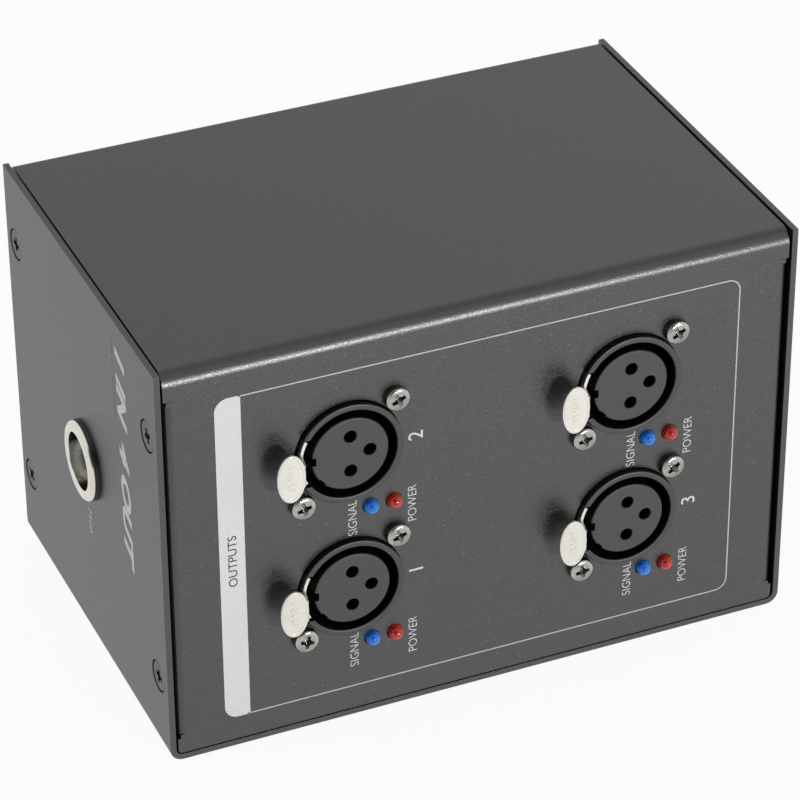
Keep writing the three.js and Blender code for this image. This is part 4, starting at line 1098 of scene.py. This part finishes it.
def bushing_mesh():
    """A flanged sleeve with a polished mouth and a threaded bore behind it."""
    proud = BUSHING_PROUD
    bore = BUSHING_BORE
    barrel = BUSHING_BARREL
    thread = THREAD_RADIUS
    step = proud - BUSHING_MOUTH
    points = [
        (thread, -BUSHING_LENGTH, 0),
        (barrel, -BUSHING_LENGTH, 0.3),
        (barrel, -NUT_BACK, 0),
        (NUT_RADIUS, -NUT_BEVEL, 0.3),
        (NUT_RADIUS, -NUT_FRONT, 0.2),
        (barrel, -NUT_SEAT, 0),
        (barrel, 0, 0),
        (BUSHING_FLANGE, 0, 0.1),
        (BUSHING_FLANGE, proud, 0.95),
        (bore, proud, 0.35),
        (bore, step, 0.2),
    ]
    profile = held(filleted(points, ARC_STEPS))
    turn = step - (bore - thread) / 2
    while turn > THREAD_PITCH - BUSHING_LENGTH:
        profile += [(thread, turn), (thread + THREAD_HEIGHT, turn - THREAD_PITCH / 2)]
        turn -= THREAD_PITCH
    profile.append((thread, turn))

    def which(face):
        """The mouth's wall; painted shade on the outer wall, the deep bore and the thread; or the
        polished rest.
        """
        height = face.center.z / MM
        away = math.hypot(face.center.x, face.center.y) / MM
        inner = step - MOUTH_END
        if away < bore + TOLERANCE and inner < height < proud - MOUTH_RIM:
            return 2
        outer_wall_shade = away > bore + 1 and face.normal.z < 0.1
        return 1 if outer_wall_shade or height < inner else 0

    mesh = smoothed(revolved(profile, ROUND_STEPS, True), BUSHING_CREASE)
    return zoned(mesh, which, polished_nickel, painted_shade_nickel, bore_nickel)


bushing_place = middle("hanging_bushing")
piece("threaded_bushing", bushing_mesh(), [], left_frame(bushing_place.y, bushing_place.z), "box",
      "nickel", "hanging_bushing")

# Cover screws, each in a lip that narrows its countersink
LIP_INNER = 3.36
LIP_OUTER = 3.76
LIP_DEPTH = 0.4
LIP_SINK = 0.005
LIP_PROFILE = ((LIP_INNER, -LIP_DEPTH), (LIP_OUTER, -LIP_SINK), (LIP_INNER, -LIP_SINK))
COVER_SCREW_TURNS = {"front_low": 265, "front_high": 296, "back_low": 234, "back_high": 265}

lips = []
cover_screw = cover_screw_mesh()
for side, side_frame in (("left", left_frame), ("right", right_frame)):
    for corner, turn in COVER_SCREW_TURNS.items():
        node = f"cover_screw_{side}_{corner}"
        centre = middle(node)
        spot = turned(side_frame(centre.y, centre.z), turn)
        piece(f"plate_screw_{side}_{corner}", cover_screw, [], spot, "box", "black_zinc", node)
        lips.append(moved(revolved(LIP_PROFILE, ROUND_STEPS, True), spot))
piece("screw_lips", beside(*lips), [box_paint], Matrix.Identity(4), "box", "box_paint")


# Sheets

SHEET_EDGE = 0.15
FLANGE_LOW = 5.6
FLANGE_HIGH = TOP - 6.9
FLANGE_INSET = 1.9
RELIEF = 0.8
RELIEF_REACH = 1.3
RELIEF_OVERLAP = 0.05
RELIEF_PAST = 0.1


def relief_fills():
    """What closes the reliefs at the flanges' ends but for the corner itself."""
    fills = []
    inner = chassis_high.x - FLANGE_INSET
    reach = RELIEF + RELIEF_PAST
    for side in (-1, 1):
        x0, x1 = sorted((side * inner, side * (inner + RELIEF_REACH)))
        for y0, y1 in ((FACE, FACE + SHEET), (BACK - SHEET, BACK)):
            fills.append(block(x0, x1, y0, y1, FLANGE_LOW - reach, FLANGE_LOW + RELIEF_OVERLAP))
            fills.append(block(x0, x1, y0, y1, FLANGE_HIGH - RELIEF_OVERLAP, FLANGE_HIGH + reach))
    return fills


dressed("folded_chassis", "chassis_shell", [chassis_paint], "box", "box_paint", SHEET_EDGE,
        fills=relief_fills())
dressed("folded_cover", "cover_shell", [box_paint], "box", "box_paint", SHEET_EDGE)


# Printing

PRINT_DEPTH = 0.04
PRINT_SINK = 0.01
LABEL_CAP = 1.78
LABEL_THIN = -0.012
LABEL_SPREAD = 0.12
SIGNAL_LABEL = (0.78, -15.57, 7.95)
POWER_LABEL = (13.13, -15.43, 8.2)
NUMBER_LABEL = (13.9, -0.22, 3.0)
TITLE_LENGTH = 11.6
PLATE_SLANT = 0.35
PLATE_WORDS_PLACE = (-24.1, 58.2)
KIND_WORDS_PLACE = (-19.1, 74.5)
THREAD_WORDS_PLACE = (-0.9, 30)
FRAME_BOTTOM = 6.65
FRAME_TOP = 79.9
FRAME_RIGHT = -54.05
FRAME_CORNER = 2.6
FRAME_LINE = 0.27
FRAME_OVERLAP = 0.5
BAR_LEFT = 54.5
BAR_RIGHT = 49.3
BAR_CORNER = 2.8

front_panel = front_frame(0, 0)


def printed(name, mesh, made, place):
    piece(name, mesh, [made], place, "box", "box_paint")


def printed_words(name, text, made, place, lift=PRINT_DEPTH / 2, **style):
    """Words as a thin layer, on the sheet or on the print under them."""
    printed(name, letters(text, depth=PRINT_DEPTH, **style), made, shifted(place, 0, 0, lift))


def outline_side(inset):
    """The line's outer side, or a side further in."""
    x0, x1, y0 = FRAME_BOTTOM + inset, FRAME_TOP - inset, FRAME_RIGHT + inset
    radius = FRAME_CORNER - inset
    return [
        (x0, BAR_RIGHT + FRAME_OVERLAP),
        *arc(x0 + radius, y0 + radius, radius, 2 * QUARTER, 3 * QUARTER),
        *arc(x1 - radius, y0 + radius, radius, 3 * QUARTER, TURN),
        (x1, BAR_RIGHT + FRAME_OVERLAP),
    ]


def outline_mesh():
    """The line round the outputs, open at the bar."""
    return standing(outline_side(0) + outline_side(FRAME_LINE)[::-1], -PRINT_SINK, PRINT_DEPTH)


def bar_mesh():
    outline = [(FRAME_BOTTOM, BAR_RIGHT), (FRAME_TOP, BAR_RIGHT)]
    outline += arc(FRAME_TOP - BAR_CORNER, BAR_LEFT - BAR_CORNER, BAR_CORNER, 0, QUARTER)
    outline += arc(FRAME_BOTTOM + BAR_CORNER, BAR_LEFT - BAR_CORNER, BAR_CORNER, QUARTER, 2 * QUARTER)
    return standing(outline, -PRINT_SINK, PRINT_DEPTH)


printed("frame_line", outline_mesh(), line_print, front_panel)
printed("title_bar", bar_mesh(), white_print, front_panel)
bar_middle = shifted(front_panel, (FRAME_BOTTOM + FRAME_TOP) / 2, (BAR_LEFT + BAR_RIGHT) / 2)
printed_words("title_words", "OUTPUTS", dark_print, bar_middle, PRINT_DEPTH,
              cap=LABEL_CAP, length=TITLE_LENGTH)

for number in OUTPUTS:
    centre = middle(f"output_insert_{number}")
    place = front_frame(centre.x + math.copysign(LABEL_SPREAD, centre.x), centre.z)
    for word, (x, y, length) in (("SIGNAL", SIGNAL_LABEL), ("POWER", POWER_LABEL)):
        printed_words(f"label_{word.lower()}_{number}", word, white_print, shifted(place, y, -x),
                      cap=LABEL_CAP, length=length, bold=LABEL_THIN)
    if number != OUTPUTS[-1]:
        x, y, cap = NUMBER_LABEL
        printed_words(f"label_number_{number}", str(number), white_print, shifted(place, y, -x), cap=cap)


# Left plate: how many inputs and outputs, what the box does, and the bushing's thread
printed_words("plate_words", "1 IN  4 OUT", white_print, left_frame(*PLATE_WORDS_PLACE),
              cap=5.2, length=49.2, bold=0.045, slant=PLATE_SLANT)
printed_words("kind_words", "SIGNAL SPLITTER", grey_print, left_frame(*KIND_WORDS_PLACE),
              cap=0.9, length=17, bold=-0.01, slant=PLATE_SLANT)
printed_words("thread_words", "M10", white_print, left_frame(*THREAD_WORDS_PLACE),
              cap=1.8, length=5.4)


# Input connector and mains inlet

INPUT_BORE = 16.2
INPUT_FLOOR = 9.8
INPUT_KEY_HALF = 1
INPUT_KEY_REACH = 9
INPUT_DISC = 7.8
INPUT_DISC_HEIGHT = 2
INPUT_DISC_EDGE = 0.12
INPUT_TAIL_OVERLAP = 0.1
INPUT_PIN = 1.2
INPUT_PIN_FOOT = 1.5
INPUT_PIN_ROUND = 0.5
INPUT_PIN_TIP = 0.4
INPUT_SCREW_TURN = 25


def input_body_mesh():
    """The input's body, with a keyway in its bore."""
    front = BARREL_PROUD + OVERRUN
    keyway = block(-INPUT_KEY_HALF, INPUT_KEY_HALF, 0, INPUT_KEY_REACH, -INPUT_FLOOR, front)
    return connector_body(INPUT_BORE, INPUT_FLOOR, keyway)


def input_pins_mesh():
    """The moulded disc at the cup's floor and its three pins with rounded tips."""
    seat = INSERT_SEAT - INPUT_FLOOR
    end = -INPUT_FLOOR - BOSS_DEPTH
    face = seat + INPUT_DISC_HEIGHT
    points = [
        (0, end, 0),
        (BOSS, end, 0),
        (BOSS, seat, 0),
        (INPUT_DISC, seat, 0),
        (INPUT_DISC, face, INPUT_DISC_EDGE),
        (0, face, 0),
    ]
    disc = smoothed(lathed(points))
    foot = seat + INPUT_PIN_FOOT
    round_low = INPUT_PIN_TIP - INPUT_PIN_ROUND
    tip = arc(INPUT_PIN - INPUT_PIN_ROUND, round_low, INPUT_PIN_ROUND, 0, QUARTER)
    profile = [(0, foot), (INPUT_PIN, foot), *tip, (0, INPUT_PIN_TIP)]
    pins = []
    for x, y in CONTACT_PLACES:
        pins.append(moved(revolved(profile, HOLE_STEPS), offset(x, y)))
        pins.append(post(x, y, TAIL_HALF, -BODY_DEPTH, end + INPUT_TAIL_OVERLAP))
    return with_materials((disc, insert_plastic), (smoothed(beside(*pins)), contact_metal))


input_middle = middle("input_insert")
input_place = back_frame(input_middle.x, input_middle.z)
piece("input_body", input_body_mesh(), [], input_place, "box", "black_plastic", "input_housing")
piece("input_pins", input_pins_mesh(), [], input_place, "box", "insert_plastic", "input_insert")
for letter, (x, y) in SCREW_PLACES.items():
    spot = turned(shifted(input_place, x, y), INPUT_SCREW_TURN + x)
    piece(f"rear_screw_{letter}", screw_mesh, [], spot, "box", "nickel", f"input_screw_{letter}")

INLET_EDGE = 0.25
INLET_TABS = 22.1
INLET_FLANGE = 2.5
INLET_SCREW_HEAD = 5.6
BLADES_FROM = 4.9
BLADES_TO = 16.4
BLADES_LEFT = 15
BLADES_RIGHT = 30
BLADES_HALF = 9
DRAWER_EDGE = 0.2

inlet_face = corners("inlet_body")[1].y


def inlet_part(face):
    """Which material of the inlet a face has: its moulding's, or its blades' and tabs'."""
    point = face.center / MM
    beside_middle = abs(point.z - input_middle.z) < BLADES_HALF
    within = beside_middle and BLADES_LEFT < point.x < BLADES_RIGHT
    blade = within and inlet_face - BLADES_TO < point.y < inlet_face - BLADES_FROM
    return 1 if blade or point.y < BACK - INLET_TABS else 0


dressed("inlet_moulding", "inlet_body", [black_plastic, zinc_steel], "box", "black_plastic", INLET_EDGE,
        inlet_part)
dressed("drawer_moulding", "fuse_drawer", [black_plastic], "drawer", "black_plastic", DRAWER_EDGE)
inlet_screw = pan_screw_mesh(INLET_SCREW_HEAD, black_zinc)
for letter in ("a", "b"):
    node = f"inlet_screw_{letter}"
    centre = middle(node)
    spot = shifted(back_frame(centre.x, centre.z), 0, 0, INLET_FLANGE)
    piece(f"inlet_fixing_{letter}", inlet_screw, [], spot, "box", "black_zinc", node)

# What is inside
for node, made in {
    "output_board": board_green,
    "main_board": board_green,
    "mains_transformer": core_steel,
    "mains_fuse": fuse_glass,
    "board_link": lead_sleeve,
    "mains_lead": lead_sleeve,
    "input_lead": lead_sleeve,
    "standoff_left_front": zinc_steel,
    "standoff_left_back": zinc_steel,
    "standoff_right": zinc_steel,
    "board_screw_left_front": zinc_steel,
    "board_screw_left_back": zinc_steel,
    "board_screw_right": zinc_steel,
}.items():
    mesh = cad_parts[node].data
    mesh.materials.clear()
    mesh.materials.append(made)


# Floor, world, lamp and camera

def shown_white(tree, path, share):
    """The share for rays that should meet a white surround, and none for the rest."""
    shown = computed(tree, "MAXIMUM", path.outputs["Is Camera Ray"], path.outputs["Is Glossy Ray"])
    shown = computed(tree, "MAXIMUM", shown, path.outputs["Is Transmission Ray"])
    return computed(tree, "MULTIPLY", shown, share)


def add_floor():
    half = FLOOR_SIZE / 2
    corners_flat = [(-half, -half, 0), (half, -half, 0), (half, half, 0), (-half, half, 0)]
    floor = new_object("floor", mesh_of(corners_flat, [[0, 1, 2, 3]], "floor"))
    made, principled = shader("floor_white", (0.95, 0.95, 0.95), 0.9)
    tree = made.node_tree
    path = tree.nodes.new("ShaderNodeLightPath")
    glow = tree.nodes.new("ShaderNodeEmission")
    glossy = path.outputs["Is Glossy Ray"]
    dimmer = ranged(tree, glossy, 0, 1, 1, FLOOR_GLOSS_GLOW, "SMOOTHSTEP")
    tree.links.new(dimmer, glow.inputs["Strength"])
    mix = tree.nodes.new("ShaderNodeMixShader")
    tree.links.new(shown_white(tree, path, FLOOR_GLOW_SHARE), mix.inputs["Fac"])
    tree.links.new(principled.outputs["BSDF"], mix.inputs[1])
    tree.links.new(glow.outputs["Emission"], mix.inputs[2])
    tree.links.new(mix.outputs["Shader"], tree.nodes["Material Output"].inputs["Surface"])
    floor.data.materials.append(made)


def add_world():
    """A pale studio with a few darker directions, which the camera sees as white."""
    world = bpy.data.worlds.new("studio")
    world.use_nodes = True
    bpy.context.scene.world = world
    tree = world.node_tree
    background = tree.nodes["Background"]
    background.inputs["Color"].default_value = (1, 1, 1, 1)
    where = tree.nodes.new("ShaderNodeTexCoord")
    level = None
    for direction, low, high, darkest in DARK_ZONES:
        along = tree.nodes.new("ShaderNodeVectorMath")
        along.operation = "DOT_PRODUCT"
        along.inputs[1].default_value = Vector(direction).normalized()
        tree.links.new(where.outputs["Generated"], along.inputs[0])
        dimmed = ranged(tree, along.outputs["Value"], low, high, STUDIO_LEVEL, darkest, "SMOOTHSTEP")
        level = computed(tree, "MINIMUM", dimmed, level) if level else dimmed
    path = tree.nodes.new("ShaderNodeLightPath")
    seen = computed(tree, "MAXIMUM", path.outputs["Is Camera Ray"], path.outputs["Is Transmission Ray"])
    tree.links.new(computed(tree, "MAXIMUM", seen, level), background.inputs["Strength"])


def add_lamp(name, direction, width, height, power):
    """A wide low lamp, whose upper edge stays below the box's top."""
    data = bpy.data.lights.new(name, "AREA")
    data.shape = "ELLIPSE"
    data.size = width * MM
    data.size_y = height * MM
    data.energy = power
    lamp_object = bpy.data.objects.new(name, data)
    bpy.context.scene.collection.objects.link(lamp_object)
    away = Vector(direction).normalized()
    lamp_object.location = (Vector(LAMP_AIM) + away * LAMP_DISTANCE) * MM
    lamp_object.rotation_euler = away.to_track_quat("Z", "Y").to_euler()


def add_camera():
    data = bpy.data.cameras.new("camera")
    data.sensor_fit = "HORIZONTAL"
    data.angle = math.radians(CAMERA_VIEW)
    data.clip_start = 0.05
    camera = bpy.data.objects.new("camera", data)
    bpy.context.scene.collection.objects.link(camera)
    turn = Matrix.Rotation(-math.radians(CAMERA_AZIMUTH), 4, "Z")
    tilt = Matrix.Rotation(QUARTER - math.radians(CAMERA_ELEVATION), 4, "X")
    roll = Matrix.Rotation(math.radians(CAMERA_ROLL), 4, "Z")
    camera.matrix_world = offset(*CAMERA_PLACE) @ turn @ tilt @ roll
    bpy.context.scene.camera = camera


add_floor()
add_world()
add_lamp("key", KEY_DIRECTION, KEY_WIDTH, KEY_HEIGHT, KEY_POWER)
add_camera()
bpy.context.scene.view_settings.view_transform = "Standard"
